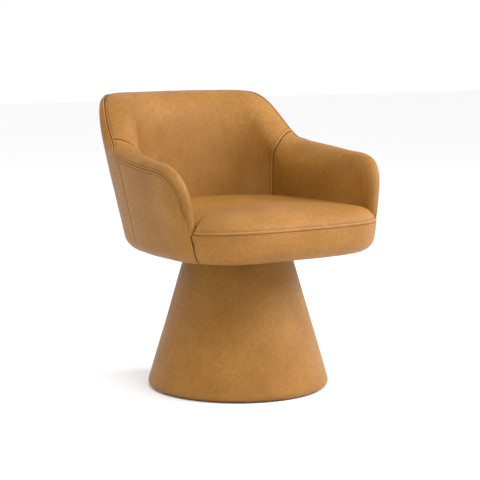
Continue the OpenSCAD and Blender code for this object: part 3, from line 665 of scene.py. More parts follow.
def swelling(coarse, most):
    """Movement of a coarse grid, pinned along its border, after some frames of cloth under
    pressure, scaled down where it passes the most allowed."""
    columns, rows = coarse.shape[:2]
    mesh = bpy.data.meshes.new("swelling")
    corners = (np.arange(columns - 1)[:, None] * rows + np.arange(rows - 1)).reshape(-1, 1)
    mesh.from_pydata(coarse.reshape(-1, 3).tolist(), [], (corners + [0, rows, rows + 1, 1]).tolist())
    sheet = bpy.data.objects.new("swelling", mesh)
    bpy.context.scene.collection.objects.link(sheet)
    inner = np.zeros((columns, rows), bool)
    inner[1:-1, 1:-1] = True
    sewn = sheet.vertex_groups.new(name="sewn")
    sewn.add(np.flatnonzero(~inner).tolist(), 1.0, "REPLACE")
    cloth = sheet.modifiers.new("cloth", "CLOTH")
    cloth.settings.vertex_group_mass = "sewn"
    cloth.settings.use_pressure = True
    cloth.settings.uniform_pressure_force = cloth_pressure
    cloth.settings.tension_stiffness = cloth_stretch_stiffness
    cloth.settings.compression_stiffness = cloth_stretch_stiffness
    cloth.settings.bending_stiffness = cloth_bending_stiffness
    cloth.settings.effector_weights.gravity = 0
    cloth.point_cache.frame_end = cloth_frames
    for frame_number in range(1, cloth_frames + 1):
        bpy.context.scene.frame_set(frame_number)
    swollen = sheet.evaluated_get(bpy.context.evaluated_depsgraph_get()).data
    flat = np.empty(columns * rows * 3, np.float32)
    swollen.vertices.foreach_get("co", flat)
    bpy.context.scene.frame_set(1)
    bpy.data.objects.remove(sheet)
    move = flat.reshape(coarse.shape) - coarse
    largest = float(np.linalg.norm(move, axis=-1).max())
    print("the cloth moved by up to", round(largest * 1000, 1), "mm")
    return move * min(1.0, most / max(largest, tiny))


def swollen_panel(points, most):
    """A panel's grid with the swelling of its coarse copy, whose lines are evenly spaced."""
    runs = [run_of(points, axis).mean(axis=1 - axis) for axis in (0, 1)]
    across, down = (run.reshape(-1) for run in runs)
    m, n = (
        int(np.clip(run[-1] / cloth_pitch, fewest_lines, most_lines)) for run in (across, down)
    )
    i = np.interp(np.linspace(0, across[-1], m), across, np.arange(len(across)))
    j = np.interp(np.linspace(0, down[-1], n), down, np.arange(len(down)))
    coarse = cubic(points, i[:, None] + 0 * j, j + 0 * i[:, None])
    back_i = (across / across[-1] * (m - 1))[:, None] + 0 * down
    back_j = down / down[-1] * (n - 1) + 0 * across[:, None]
    return points + cubic(swelling(coarse, most), back_i, back_j)


print("the cloth steps through", cloth_frames, "frames")

# %% [markdown]
# ## From arrays to meshes
# Blender takes whole arrays of vertices and faces. One helper turns a grid into a mesh with
# outward faces, writes the mask of the seams as an attribute for the material to read, gives
# the leather its thickness with a Solidify modifier, and hangs the piece on its body.


# %% Mesh helpers
def grid_faces(columns, rows, closed=False):
    """Four corners of each cell, so that column direction times row direction points out."""
    i = np.arange(columns if closed else columns - 1)[:, None]
    j = np.arange(rows - 1)[None, :]
    a = i * rows + j
    b = ((i + 1) % columns) * rows + j
    return np.stack([a, b, b + 1, a + 1], axis=-1).reshape(-1, 4)


def new_piece(name, points, faces, material, masks=None):
    """A mesh object at the origin from arrays of points and faces, smooth, with its masks."""
    mesh = bpy.data.meshes.new(name)
    mesh.from_pydata(points.reshape(-1, 3).tolist(), [], [list(face) for face in faces])
    mesh.update()
    mesh.shade_smooth()
    for mask, values in (masks or {}).items():
        attribute = mesh.attributes.new(mask, "FLOAT", "POINT")
        attribute.data.foreach_set("value", np.asarray(values, np.float32).ravel())
    mesh.materials.append(material)
    piece = bpy.data.objects.new(name, mesh)
    bpy.context.scene.collection.objects.link(piece)
    return piece


def give_thickness(piece, thickness):
    """Leather has a back: Solidify puts it inside the face."""
    solid = piece.modifiers.new("hide", "SOLIDIFY")
    solid.thickness = thickness
    solid.offset = -1


def sheet_faces(columns, rows):
    """Faces of a closed sheet whose second half of points lies behind its first: the face, the
    rear turned round, and a strip along the border."""
    total = columns * rows
    face = grid_faces(columns, rows)
    low = np.arange(columns) * rows
    side = (columns - 1) * rows + np.arange(rows)
    ring = np.concatenate([low, side[1:], low[::-1][1:] + rows - 1, np.arange(rows)[::-1][1:]])
    a, b = ring[:-1], ring[1:]
    border = np.stack([b, a, a + total, b + total], axis=-1)
    return np.concatenate([face, face[:, ::-1] + total, border])


print("mesh helpers are ready")

# %% [markdown]
# ## Finishes
# The leather is a full-grain hide: a pebble of about a millimetre, faint clouds of darker and
# lighter tan, and darker lines where the seams hold dust and shadow. The steel, boards, foams and
# cloth below it follow the same plan: colour, roughness and bump each get their own variation.
# What several finishes share is built once as a node group that puts out masks and heights only.


# %% Shared node groups
def new_group(name, inputs, outputs):
    """An empty node group with named number inputs and outputs, and its two end nodes."""
    group = bpy.data.node_groups.new(name, "ShaderNodeTree")
    for label, value in inputs.items():
        socket = group.interface.new_socket(name=label, in_out="INPUT", socket_type="NodeSocketFloat")
        socket.default_value = value
    for label in outputs:
        group.interface.new_socket(name=label, in_out="OUTPUT", socket_type="NodeSocketFloat")
    start = group.nodes.new("NodeGroupInput")
    end = group.nodes.new("NodeGroupOutput")
    return group, start, end


def add(tree, kind, **settings):
    """A node of a kind, with sockets set by name and properties set by attribute."""
    node = tree.nodes.new(kind)
    for label, value in settings.items():
        socket = node.inputs.get(label.replace("_", " ").title())
        if socket is not None and not hasattr(node, label):
            socket.default_value = value
        else:
            setattr(node, label, value)
    return node


def wire(tree, source, target):
    """A link from an output socket to an input socket."""
    tree.links.new(source, target)


def build_grain():
    """Pebble of a hide: distance to the edges of small cells, and fine pores between them."""
    group, start, end = new_group(
        "hide_grain", {"Pebbles": 900.0, "Pores": 2600.0}, ("Height", "Crease")
    )
    place = add(group, "ShaderNodeTexCoord")
    cells = add(group, "ShaderNodeTexVoronoi", feature="DISTANCE_TO_EDGE")
    pores = add(group, "ShaderNodeTexNoise", detail=1.0)
    lift = add(group, "ShaderNodeMapRange")
    lift.inputs["From Max"].default_value = 0.16
    both = add(group, "ShaderNodeMath", operation="MULTIPLY_ADD")
    both.inputs[1].default_value = 0.18
    wire(group, place.outputs["Object"], cells.inputs["Vector"])
    wire(group, place.outputs["Object"], pores.inputs["Vector"])
    wire(group, start.outputs["Pebbles"], cells.inputs["Scale"])
    wire(group, start.outputs["Pores"], pores.inputs["Scale"])
    wire(group, cells.outputs["Distance"], lift.inputs["Value"])
    wire(group, pores.outputs["Fac"], both.inputs[0])
    wire(group, lift.outputs["Result"], both.inputs[2])
    wire(group, both.outputs["Value"], end.inputs["Height"])
    wire(group, lift.outputs["Result"], end.inputs["Crease"])
    return group


def build_clouds():
    """Clouds of two sizes, as masks from 0 to 1."""
    group, start, end = new_group("clouds", {"Size": 9.0, "Speck": 120.0}, ("Slow", "Quick"))
    place = add(group, "ShaderNodeTexCoord")
    for label, size in (("Slow", "Size"), ("Quick", "Speck")):
        noise = add(group, "ShaderNodeTexNoise", detail=4.0)
        spread = add(group, "ShaderNodeMapRange")
        spread.inputs["From Min"].default_value = 0.3
        spread.inputs["From Max"].default_value = 0.7
        wire(group, place.outputs["Object"], noise.inputs["Vector"])
        wire(group, start.outputs[size], noise.inputs["Scale"])
        wire(group, noise.outputs["Fac"], spread.inputs["Value"])
        wire(group, spread.outputs["Result"], end.inputs[label])
    return group


def build_fibres():
    """Long fibres or brush marks: noise on a place that is squeezed along two axes."""
    group, start, end = new_group("fibres", {"Across": 600.0, "Along": 12.0}, ("Fibre",))
    place = add(group, "ShaderNodeTexCoord")
    scale = add(group, "ShaderNodeCombineXYZ")
    squeeze = add(group, "ShaderNodeVectorMath", operation="MULTIPLY")
    noise = add(group, "ShaderNodeTexNoise", detail=3.0)
    noise.inputs["Scale"].default_value = 1.0
    wire(group, start.outputs["Along"], scale.inputs["X"])
    wire(group, start.outputs["Across"], scale.inputs["Y"])
    wire(group, start.outputs["Across"], scale.inputs["Z"])
    wire(group, place.outputs["Object"], squeeze.inputs[0])
    wire(group, scale.outputs["Vector"], squeeze.inputs[1])
    wire(group, squeeze.outputs["Vector"], noise.inputs["Vector"])
    wire(group, noise.outputs["Fac"], end.inputs["Fibre"])
    return group


grain_group, clouds_group, fibres_group = build_grain(), build_clouds(), build_fibres()
print("shared groups:", grain_group.name, clouds_group.name, fibres_group.name)


# %% Material helpers
def new_material(name):
    """A material with its Principled BSDF, ready to wire."""
    material = bpy.data.materials.new(name)
    material.use_nodes = True
    return material, material.node_tree, material.node_tree.nodes["Principled BSDF"]


def use_group(tree, group, **values):
    """One placed copy of a group with its own values."""
    node = tree.nodes.new("ShaderNodeGroup")
    node.node_tree = group
    for label, value in values.items():
        node.inputs[label.replace("_", " ")].default_value = value
    return node


def blend_colours(tree, mask, first, second):
    """A Mix node between two colours or sockets, by a mask's socket or a number."""
    node = tree.nodes.new("ShaderNodeMix")
    node.data_type = "RGBA"
    for socket, value in ((node.inputs[6], first), (node.inputs[7], second)):
        if isinstance(value, tuple):
            socket.default_value = (*value, 1.0)
        else:
            wire(tree, value, socket)
    wire(tree, mask, node.inputs[0])
    return node.outputs[2]


def scaled(tree, socket, low, high):
    """A mask from 0 to 1 stretched between two values."""
    node = tree.nodes.new("ShaderNodeMapRange")
    node.inputs["To Min"].default_value = low
    node.inputs["To Max"].default_value = high
    wire(tree, socket, node.inputs["Value"])
    return node.outputs["Result"]


def bumped(tree, shader, height, distance, strength=1.0):
    """A Bump node with the distance in metres, on the shader's Normal."""
    node = tree.nodes.new("ShaderNodeBump")
    node.inputs["Distance"].default_value = distance
    node.inputs["Strength"].default_value = strength
    wire(tree, height, node.inputs["Height"])
    wire(tree, node.outputs["Normal"], shader.inputs["Normal"])


print("material helpers are ready")

# %% [markdown]
# ## The leather
# One hide covers the whole chair, so one material does too. Base Color goes from a deeper to a
# lighter tan with slow clouds, fine specks and the pebble's creases. The seam mask pulls it to a
# dark brown in the valleys, dust and painted shade, and to a paler tan on the ridges beside them,
# partly rubbed wear and partly a painted highlight. Roughness varies with the specks, because no
# hide is evenly smooth.

# %% Leather and thread
leather_deep = (0.246, 0.104, 0.014)
leather_light = (0.330, 0.148, 0.024)
leather_crease = (0.164, 0.064, 0.005)
# Paler tan of the seam ridges: partly rubbed wear, partly a painted highlight.
leather_wear_and_highlight = (0.47, 0.25, 0.065)
# Dark brown of the seam lines and needle pits: dust and painted shade.
seam_dust_and_shade = (0.075, 0.024, 0.004)
thread_brown = (0.30, 0.135, 0.04)
thread_light = (0.42, 0.21, 0.07)
speck_share = 0.42
crease_share = 0.22
seam_share = 0.78
# How far the ridges go to the paler tan, partly wear and partly a painted highlight.
wear_and_highlight_share = 0.45
leather_roughness = (0.42, 0.54)
leather_grain = 0.00016
thread_roughness = (0.45, 0.7)
thread_twist = 0.0001


def leather_finish():
    """Tan full-grain leather, darker in the creases, with painted dust and shade in the seams and a
    paler tone on their ridges that is partly wear and partly a painted highlight.
    """
    material, tree, shader = new_material("tan_leather")
    grain = use_group(tree, grain_group)
    clouds = use_group(tree, clouds_group)
    seam = tree.nodes.new("ShaderNodeAttribute")
    seam.attribute_name = "seam"
    tone = blend_colours(tree, clouds.outputs["Slow"], leather_deep, leather_light)
    specks = scaled(tree, clouds.outputs["Quick"], 0.0, speck_share)
    tone = blend_colours(tree, specks, tone, leather_crease)
    crease = scaled(tree, grain.outputs["Crease"], crease_share, 0.0)
    tone = blend_colours(tree, crease, tone, leather_crease)
    # The seam mask darkens the valleys to the seam colour: dust and painted shade.
    tone = blend_colours(tree, scaled(tree, seam.outputs["Fac"], 0.0, seam_share), tone, seam_dust_and_shade)
    # The ridges' crests go to a paler tan: partly rubbed wear, partly a painted highlight.
    wear_and_highlight = tree.nodes.new("ShaderNodeMapRange")
    wear_and_highlight.inputs["From Max"].default_value = -1.0
    wear_and_highlight.inputs["To Max"].default_value = wear_and_highlight_share
    wire(tree, seam.outputs["Fac"], wear_and_highlight.inputs["Value"])
    tone = blend_colours(tree, wear_and_highlight.outputs["Result"], tone, leather_wear_and_highlight)
    wire(tree, tone, shader.inputs["Base Color"])
    wire(tree, scaled(tree, clouds.outputs["Quick"], *leather_roughness), shader.inputs["Roughness"])
    shader.inputs["Specular IOR Level"].default_value = 0.24
    bumped(tree, shader, grain.outputs["Height"], leather_grain)
    return material


def thread_finish():
    """Waxed brown thread, with the turns of its twist as fibres and painted shade in the pits at its
    ends.
    """
    material, tree, shader = new_material("waxed_thread")
    fibres = use_group(tree, fibres_group, Across=1400.0, Along=900.0)
    tone = blend_colours(tree, fibres.outputs["Fibre"], thread_brown, thread_light)
    pit_shade = tree.nodes.new("ShaderNodeAttribute")
    pit_shade.attribute_name = "seam"
    # The pits at the stitch's ends take the seam's dark brown as painted shade.
    tone = blend_colours(tree, pit_shade.outputs["Fac"], tone, seam_dust_and_shade)
    wire(tree, tone, shader.inputs["Base Color"])
    wire(tree, scaled(tree, fibres.outputs["Fibre"], *thread_roughness), shader.inputs["Roughness"])
    bumped(tree, shader, fibres.outputs["Fibre"], thread_twist)
    return material


tan_leather = leather_finish()
waxed_thread = thread_finish()
print("made", tan_leather.name, "and", waxed_thread.name)

# %% [markdown]
# ## The finishes below the leather
# Rolled steel has brush marks, boards show their plies on the edges, foam has open cells,
# wadding has loose fibres, the glide pad is felt and the dust cover is a bonded cloth with
# pressed dimples.


# %% Plain finishes
def brushed_finish(name, dark, light, rough_low, rough_high, metallic):
    """Metal or moulded stock with fine marks along one way."""
    material, tree, shader = new_material(name)
    fibres = use_group(tree, fibres_group, Across=900.0, Along=25.0)
    clouds = use_group(tree, clouds_group, Size=14.0, Speck=300.0)
    tone = blend_colours(tree, clouds.outputs["Slow"], dark, light)
    wire(tree, tone, shader.inputs["Base Color"])
    rough = scaled(tree, fibres.outputs["Fibre"], rough_low, rough_high)
    wire(tree, rough, shader.inputs["Roughness"])
    shader.inputs["Metallic"].default_value = metallic
    bumped(tree, shader, fibres.outputs["Fibre"], 0.00003)
    return material


def cellular_finish(name, dark, light, cell, depth, rough):
    """Foam, felt or bonded cloth: cells or fibres of one size, with clouds of colour."""
    material, tree, shader = new_material(name)
    grain = use_group(tree, grain_group, Pebbles=cell, Pores=cell * 3)
    clouds = use_group(tree, clouds_group, Size=20.0, Speck=cell / 2)
    tone = blend_colours(tree, clouds.outputs["Slow"], dark, light)
    tone = blend_colours(tree, scaled(tree, grain.outputs["Crease"], 0.5, 0.0), tone, dark)
    wire(tree, tone, shader.inputs["Base Color"])
    wire(tree, scaled(tree, clouds.outputs["Quick"], rough, 1.0), shader.inputs["Roughness"])
    bumped(tree, shader, grain.outputs["Height"], depth)
    return material


birch_dark, birch_light, glue_brown = (0.44, 0.27, 0.13), (0.66, 0.47, 0.27), (0.30, 0.17, 0.08)


def plywood_finish():
    """Birch plywood: plies as bands over the height, and long grain on the faces."""
    material, tree, shader = new_material("birch_plywood")
    fibres = use_group(tree, fibres_group, Across=260.0, Along=9.0)
    place = tree.nodes.new("ShaderNodeTexCoord")
    plies = tree.nodes.new("ShaderNodeTexWave")
    plies.bands_direction = "Z"
    plies.inputs["Scale"].default_value = 110.0
    plies.inputs["Distortion"].default_value = 0.6
    wire(tree, place.outputs["Object"], plies.inputs["Vector"])
    tone = blend_colours(tree, fibres.outputs["Fibre"], birch_dark, birch_light)
    tone = blend_colours(tree, scaled(tree, plies.outputs["Fac"], 0.0, 0.5), tone, glue_brown)
    wire(tree, tone, shader.inputs["Base Color"])
    wire(tree, scaled(tree, fibres.outputs["Fibre"], 0.5, 0.75), shader.inputs["Roughness"])
    bumped(tree, shader, fibres.outputs["Fibre"], 0.0001)
    return material


finishes = {"leather": tan_leather, "plywood": plywood_finish()}

# Darkest and lightest colour, roughness from and to, and how metallic
brushed = {
    "bright_steel": ((0.55, 0.56, 0.58), (0.68, 0.69, 0.71), 0.18, 0.35, 1.0),
    "dark_steel": ((0.10, 0.10, 0.11), (0.17, 0.17, 0.18), 0.35, 0.55, 1.0),
    "zinc_steel": ((0.42, 0.44, 0.48), (0.60, 0.61, 0.60), 0.28, 0.5, 1.0),
    "moulded_frame": ((0.16, 0.10, 0.06), (0.25, 0.17, 0.11), 0.5, 0.7, 0.0),
    "nylon": ((0.62, 0.55, 0.38), (0.72, 0.66, 0.50), 0.35, 0.5, 0.0),
}
for name, values in brushed.items():
    finishes[name] = brushed_finish(name, *values)

# Darkest and lightest colour, cells to a metre, depth of the cells and least roughness
cellular = {
    "foam": ((0.62, 0.52, 0.26), (0.78, 0.70, 0.42), 700.0, 0.0006, 0.85),
    "wadding": ((0.70, 0.68, 0.62), (0.85, 0.84, 0.80), 350.0, 0.0010, 0.9),
    "felt_pad": ((0.030, 0.028, 0.027), (0.065, 0.06, 0.055), 1500.0, 0.0003, 0.88),
    "lining_cloth": ((0.012, 0.012, 0.013), (0.03, 0.03, 0.032), 480.0, 0.0002, 0.8),
}
for name, values in cellular.items():
    finishes[name] = cellular_finish("upholstery_foam" if name == "foam" else name, *values)
print("finishes:", ", ".join(finishes))

# %% [markdown]
# ## Dressing the hard pieces
# Boards, plates, screws, balls and the moulded frame have their right shape in the frame already.
# They keep it, and only their material slot changes, to the finish that the record names.

# %% Materials on the frame's own nodes
slot_nodes = {
    "felt_pad": ("floor_pad",),
    "plywood": ("bottom_board", "top_board", "lower_deck", "upper_deck", "front_rail"),
    "bright_steel": (
        "king_pin", "pin_washer", "bearing_balls", "lower_swivel_plate", "upper_swivel_plate",
    ),
    "dark_steel": ("ballast_plate", "column_foot_flange", "column_tube", "column_top_flange"),
    "zinc_steel": (
        "ballast_screws", "column_foot_screws", "column_top_screws", "lower_plate_screws",
        "swivel_bolts", "tee_nuts", "frame_brackets", "bracket_screws",
    ),
    "moulded_frame": ("tub_frame", "cone_core"),
    "nylon": ("ball_cage",),
}
for slot, members in slot_nodes.items():
    for member in members:
        mesh = nodes[member].data
        mesh.materials.clear()
        mesh.materials.append(finishes[slot])
print("dressed", sum(len(members) for members in slot_nodes.values()), "hard nodes")


# %% [markdown]
# ## The tub's covers
# Seven hides cover the tub: one outside back and one inside back, two outside arms, two inside
# arms that roll over the arms, and the band below the seat. A shrink-wrapped sculpt would lose
# the pattern cutter's lines, so each hide is its own grid between its own seams.


# %% Covers on the walls
def finish_cover(name, points, seams, replaced, most):
    """Lets a grid swell, dresses it with relief, makes it a hide with thickness and hangs it on
    the seat. Gives the grid without its seam allowance, for the stitches."""
    dressed, dark, plain = dress(swollen_panel(points, most), seams)
    faces = grid_faces(*dressed.shape[:2])
    piece = new_piece(name, dressed, faces, tan_leather, {"seam": dark})
    give_thickness(piece, leather)
    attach(piece, "seat")
    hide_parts(*replaced)
    print(name, "has", len(faces), "faces")
    return plain


def wall_cover(columns, first, last):
    """A grid of the given columns between two stations, spaced along its rows as well."""
    station = rim_stations(first, last)
    points = columns(station, 0.0)
    length = run_of(points, 1)[:, -1]
    return resample(points, spaced(length, int(length.max() / field_spacing)))


rim_stitch_offset = 0.006
inside_stitch_offset = 0.008
outside_ridge_offset = 0.0055
outside_seams = (0, 0, None, outside_ridge_offset)
outside_swelling, arm_swelling, back_swelling, band_swelling = 0.0015, 0.003, 0.006, 0.0015
outside_panels = {
    "right_outside_arm": (0.0, outside_seam_share),
    "outside_back": (outside_seam_share + seam_gap_share, 2 - outside_seam_share - seam_gap_share),
    "left_outside_arm": (2 - outside_seam_share, 2.0),
}
for name, span in outside_panels.items():
    finish_cover(
        name, wall_cover(outer_columns, *span), outside_seams, [name + "_cover"],
        outside_swelling,
    )

# %% Covers inside the tub
inside_panels = {
    "right_inside_arm": (0.0, inside_seam_share),
    "inside_back": (inside_seam_share + seam_gap_share, 2 - inside_seam_share - seam_gap_share),
    "left_inside_arm": (2 - inside_seam_share, 2.0),
}
inside_seams = {
    "right_inside_arm": (None, 0, rim_stitch_offset, None),
    "inside_back": (inside_stitch_offset, inside_stitch_offset, rim_stitch_offset, None),
    "left_inside_arm": (0, None, rim_stitch_offset, None),
}
inside = {
    name: finish_cover(
        name, wall_cover(inner_columns, *span), inside_seams[name], [name + "_cover"],
        back_swelling if name == "inside_back" else arm_swelling,
    )
    for name, span in inside_panels.items()
}

# %% [markdown]
# ## The band and the seat
# The band under the seat is a short wall between the arms' front ends. The seat's cover is one
# crowned hide whose edge rolls down to the seam with the band in front, and tucks in beside the
# walls elsewhere. It is built as rings, from its outline in to the middle. Foam below it rounds
# off every edge, which a mean along the rows gives, and a skirt goes down out of sight beside the
# walls, so that no gap opens at the arms' feet.

# %% The front band
foot_gap_angle = 0.3
front_end_angle = foot_angle - foot_gap_angle


def band_columns(angle, depth):
    """Up the band: margin, quarter round, and straight up to the seam below the seat. Its ends
    lean with the outside arms' front edges."""
    angle = angle[:, None]
    spread = angle / foot_angle * (roll(np.zeros((1, 1)), 0.0, 0.0)[0] - foot_angle)
    t = np.linspace(0, 1, fine_rows)[None, :]
    round_middle = underside_height + edge_radius
    quarter = np.pi / 2 * t
    lift = round_middle - (edge_radius - depth) * np.cos(quarter)
    parts = [
        skin(angle, underside_height + depth, edge_radius + turned_margin * (1 - t)),
        skin(angle, lift, edge_radius - (edge_radius - depth) * np.sin(quarter)),
        skin(angle + spread * t, mix(round_middle, seam_height, t), depth + 0 * t),
    ]
    return np.concatenate(parts, axis=1)


band_length = np.radians(2 * front_end_angle) * front_reach
band_marks = spaced(band_length, int(band_length / field_spacing))[0] / band_length
band_points = band_columns(mix(-front_end_angle, front_end_angle, band_marks), 0.0)
band_run = run_of(band_points, 1)[:, -1]
band_points = resample(band_points, spaced(band_run, int(band_run.max() / field_spacing)))
finish_cover(
    "front_band", band_points, (0, 0, None, 0), ["front_band_cover"], band_swelling
)

# %% The seat
seat_foot_height = seam_height + 0.018
seat_edge_height = seam_height + 0.036
seat_shoulder_height = seam_height + 0.040
seat_crown = 0.003
seat_edge_round = 0.030
seat_gap = 0.002
seat_corner_share = 0.08
seat_middle = np.array([0.0, -plan_lead + (back_reach - front_reach) / 2])
front_count, corner_count, side_count = 180, 18, 230
edge_part, crown_part = 40, 60


def seat_outline(turn):
    """Angles, depths and low heights round the seat, for each turn of its rounded edge: the
    front, a corner in beside each arm's foot, and the run along the walls."""
    inward = seat_edge_round * (1 - np.cos(turn))[None, :]
    shrink = np.degrees(seat_corner_share * inward / front_reach)
    end = front_end_angle - shrink
    along = np.linspace(-1, 1, front_count)[:, None]
    corner = np.linspace(0, 1, corner_count + 2)[1:-1, None]
    around = np.linspace(0, 1, side_count)[:, None]
    side = mix(end, 360 - end, around)
    near = np.minimum(side, 360 - side)
    wall = np.maximum(foot_of_wall(near), wall_thickness(near, seat_shoulder_height))
    deep = wall + seat_gap + inward
    foot_deep = deep[:1]
    angle = [along * end, end + 0 * corner, side, 360 - end + 0 * corner]
    depth = [
        inward + 0 * along, mix(inward, foot_deep, corner), deep, mix(foot_deep, inward, corner),
    ]
    front_low = seam_height + air
    side_low = mix(seat_foot_height, seat_edge_height, np.sqrt(past_foot(near[:, :1])))
    low = [
        front_low + 0 * along,
        mix(front_low, side_low[0, 0], ease(corner)),
        side_low,
        mix(side_low[0, 0], front_low, ease(corner)),
    ]
    return np.concatenate(angle), np.concatenate(depth), np.concatenate(low)


def seat_columns(inset):
    """In from the outline: a quarter round up to the shoulder, then the crown, which rises with
    one less the square of the share of the way out."""
    turn = np.pi / 2 * np.linspace(0, 1, edge_part)
    angle, depth, low = seat_outline(turn)
    edge = skin(angle, low + 0 * angle, depth + inset * np.cos(turn)[None, :])
    edge[..., 2] = low + (seat_shoulder_height - low - inset) * np.sin(turn)[None, :]
    share = np.linspace(1, 0, crown_part + 1)[1:-1][None, :, None]
    flat = mix(seat_middle, edge[:, -1:, :2], share)
    high = edge[:, -1:, 2:] + seat_crown * (1 - share ** 2)
    return np.concatenate([edge, np.concatenate([flat, high], axis=2)], axis=1)


seat_softening = 0.020
seat_rows = 150
seat_blend_columns = 8
seat_field_rows = 42


def closed_smoothed(points, reach):
    """Gaussian mean from column to column, all round an outline that closes on itself."""
    width = int(3 * reach) + 1
    whole = np.concatenate([points[-width:], points, points[:width]])
    return smoothed(whole, 0, reach)[width:-width]


def soft_seat(inset):
    """The seat's columns, rounded off by the foam along the rows, and, from the middle out to
    the start of the rounded edge, from column to column as well."""
    rows = even(seat_columns(inset), seat_rows)
    pitch = run_of(rows, 1)[:, -1].mean() / seat_rows
    rows = smoothed(rows, 1, seat_softening / pitch)
    inner = ease(run_of(rows, 1) / (2 * seat_edge_round))[..., None]
    return mix(rows, closed_smoothed(rows, seat_blend_columns), inner)


seat_points = soft_seat(0.0)
seat_run = run_of(seat_points, 1)[:, -1]
seat_points = resample(seat_points, spaced(seat_run, seat_field_rows, far=False))
print("the seat's grid is", seat_points.shape[:2])

# %% The seat as a square of cloth
square_lines = 45
seat_swelling = 0.008


def square_place(around):
    """Place on the border of a square from -1 to 1, for a way round it from 0 to 4: along the
    front, back along the right side, along the back, and forward along the left side."""
    side, t = np.floor(around), 2 * (around % 1) - 1
    u = np.select([side == 0, side == 1, side == 2], [t, 1 + 0 * t, -t], -1 + 0 * t)
    v = np.select([side == 0, side == 1, side == 2], [-1 + 0 * t, t, 1 + 0 * t], -t)
    return u, v


def way_round(u, v):
    """The inverse: how far round the square's border the direction of a place points."""
    reach = np.maximum(np.maximum(np.abs(u), np.abs(v)), tiny)
    a, b = (u / reach + 1) / 2, (v / reach + 1) / 2
    return np.select([b <= 1e-6, a >= 1 - 1e-6, b >= 1 - 1e-6], [a, 1 + b, 3 - a], 4 - b) % 4


# How far round the square each column of the seat lies: its four corners are the two ends of the
# front and the two rear corners of the plan.
seat_count = len(seat_points)
outline_run = run_of(np.concatenate([seat_points, seat_points[:1]])[:, :1], 0)[:, 0]
rear_corner_share = 0.30
front_end = front_count - 1
rest = seat_count - front_end
to_corner = rest * rear_corner_share
column_marks = [0, front_end, front_end + to_corner, seat_count - to_corner, seat_count]
run_marks = np.interp(column_marks, np.arange(seat_count + 1), outline_run)
column_way = np.interp(outline_run[:-1], run_marks, np.arange(5))
row_reach = 1 - run_of(seat_points, 1).mean(axis=0) / (seat_run.mean() + tiny)
row_reach = np.clip(row_reach, 0, 1)

square_line = np.linspace(-1, 1, square_lines)
u, v = np.meshgrid(square_line, square_line, indexing="ij")
reach = np.maximum(np.abs(u), np.abs(v))
pole = seat_points[:, -1].mean(axis=0)
with_pole = np.concatenate([seat_points, 0 * seat_points[:, :1] + pole], axis=1)
wrapped = np.concatenate([with_pole, with_pole[:1]])
run_round = np.interp(way_round(u, v), np.arange(5), run_marks)
at_column = np.interp(run_round, outline_run, np.arange(seat_count + 1))
at_row = np.interp(1 - reach, 1 - np.append(row_reach, 0.0), np.arange(with_pole.shape[1]))
seat_move = swelling(cubic(wrapped, at_column, at_row), seat_swelling)
edge_u, edge_v = square_place(column_way)
half_lines = (square_lines - 1) / 2
seat_points = seat_points + cubic(
    seat_move,
    (edge_u[:, None] * row_reach + 1) * half_lines,
    (edge_v[:, None] * row_reach + 1) * half_lines,
)
print("the seat's crown is now", round(float(seat_points[..., 2].max() - seat_shoulder_height), 4))

# %% The seat's seams and mesh
seat_stitch_offset = 0.009
seat_relief_share = 0.7
seat_wear_and_highlight_share = 0.45
skirt_drop = 0.028
skirt_rows = 4


def seat_skirt(face, on_front):
    """What is tucked away below the seat's outline: a seam allowance that goes straight in along
    the front, and elsewhere a skirt that goes down beside the walls."""
    t = np.arange(skirt_rows, 0, -1)[None, :, None] / skirt_rows
    edge = face[:, :1]
    inwards = np.append(seat_middle, 0) - edge * [1, 1, 0]
    inwards = inwards / np.linalg.norm(inwards, axis=-1, keepdims=True) * allowance
    down = np.array([0, 0, -skirt_drop])
    return edge + mix(down, inwards, on_front[..., None]) * t


down = run_of(seat_points, 1)
on_front = np.zeros(len(seat_points))
on_front[:front_count] = 1
on_front = on_front[:, None]
front_move, front_dark = seam_relief(down, seat_stitch_offset)
front_move = seat_relief_share * front_move
# On the seat the ridge's paler tone, partly wear and partly a painted highlight, is weaker.
front_dark = np.where(front_dark < 0, seat_wear_and_highlight_share * front_dark, front_dark)
square = normals(np.concatenate([seat_points[-1:], seat_points, seat_points[:1]]))[1:-1]
relief = on_front * front_move + softness(seat_points)
seat_face = seat_points + square * relief[..., None]
pole = seat_face[:, -1].mean(axis=0)
skirt = seat_skirt(seat_face, on_front)
seat_grid = np.concatenate([skirt, seat_face], axis=1)
columns, rows = seat_grid.shape[:2]
last = np.arange(columns) * rows + rows - 1
fan = np.stack([last, np.roll(last, -1), np.full(columns, columns * rows)], axis=-1)
seat_mesh_points = np.concatenate([seat_grid.reshape(-1, 3), pole[None]])
seat_faces = [*grid_faces(columns, rows, closed=True), *fan]
# Along the front the tucked-in allowance keeps the darkest seam colour, painted shade in the crack;
# the skirt beside the walls stays plain.
allowance_shade = np.repeat(on_front, skirt.shape[1], axis=1)
seat_dark = np.append(np.concatenate([allowance_shade, on_front * front_dark], axis=1), 0.0)
seat_top = new_piece("seat_top", seat_mesh_points, seat_faces, tan_leather, {"seam": seat_dark})
give_thickness(seat_top, leather)
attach(seat_top, "seat")
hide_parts("seat_top_cover")
print("the seat's top has", len(seat_faces), "faces")

# %% [markdown]
# ## The cone's cover
# A flat fan of leather is wrapped round the cone and sewn up behind, then turned under at the
# foot and over at the top. The profile is carried round the axis, with closer columns at the
# seam behind so that its valley is real.

# %% The cone's cover
cone_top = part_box("cone_cover")[1].z
cone_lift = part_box("cone_cover")[0].z - 0.0018
cone_foot_radius = 0.2445
cone_head_radius = 0.139
cone_foot_round = 0.011
cone_top_round = 0.008
foot_opening_radius = 0.215
top_opening_radius = 0.1095
cone_round_rows = 24
cone_rows, cone_columns = 110, 260
cone_slope = (cone_foot_radius - cone_head_radius) / cone_top
lean = np.arctan(cone_slope)


def cone_side(height):
    """Radius of the cone's side: the foot radius less the slope times the height."""
    return cone_foot_radius - cone_slope * height


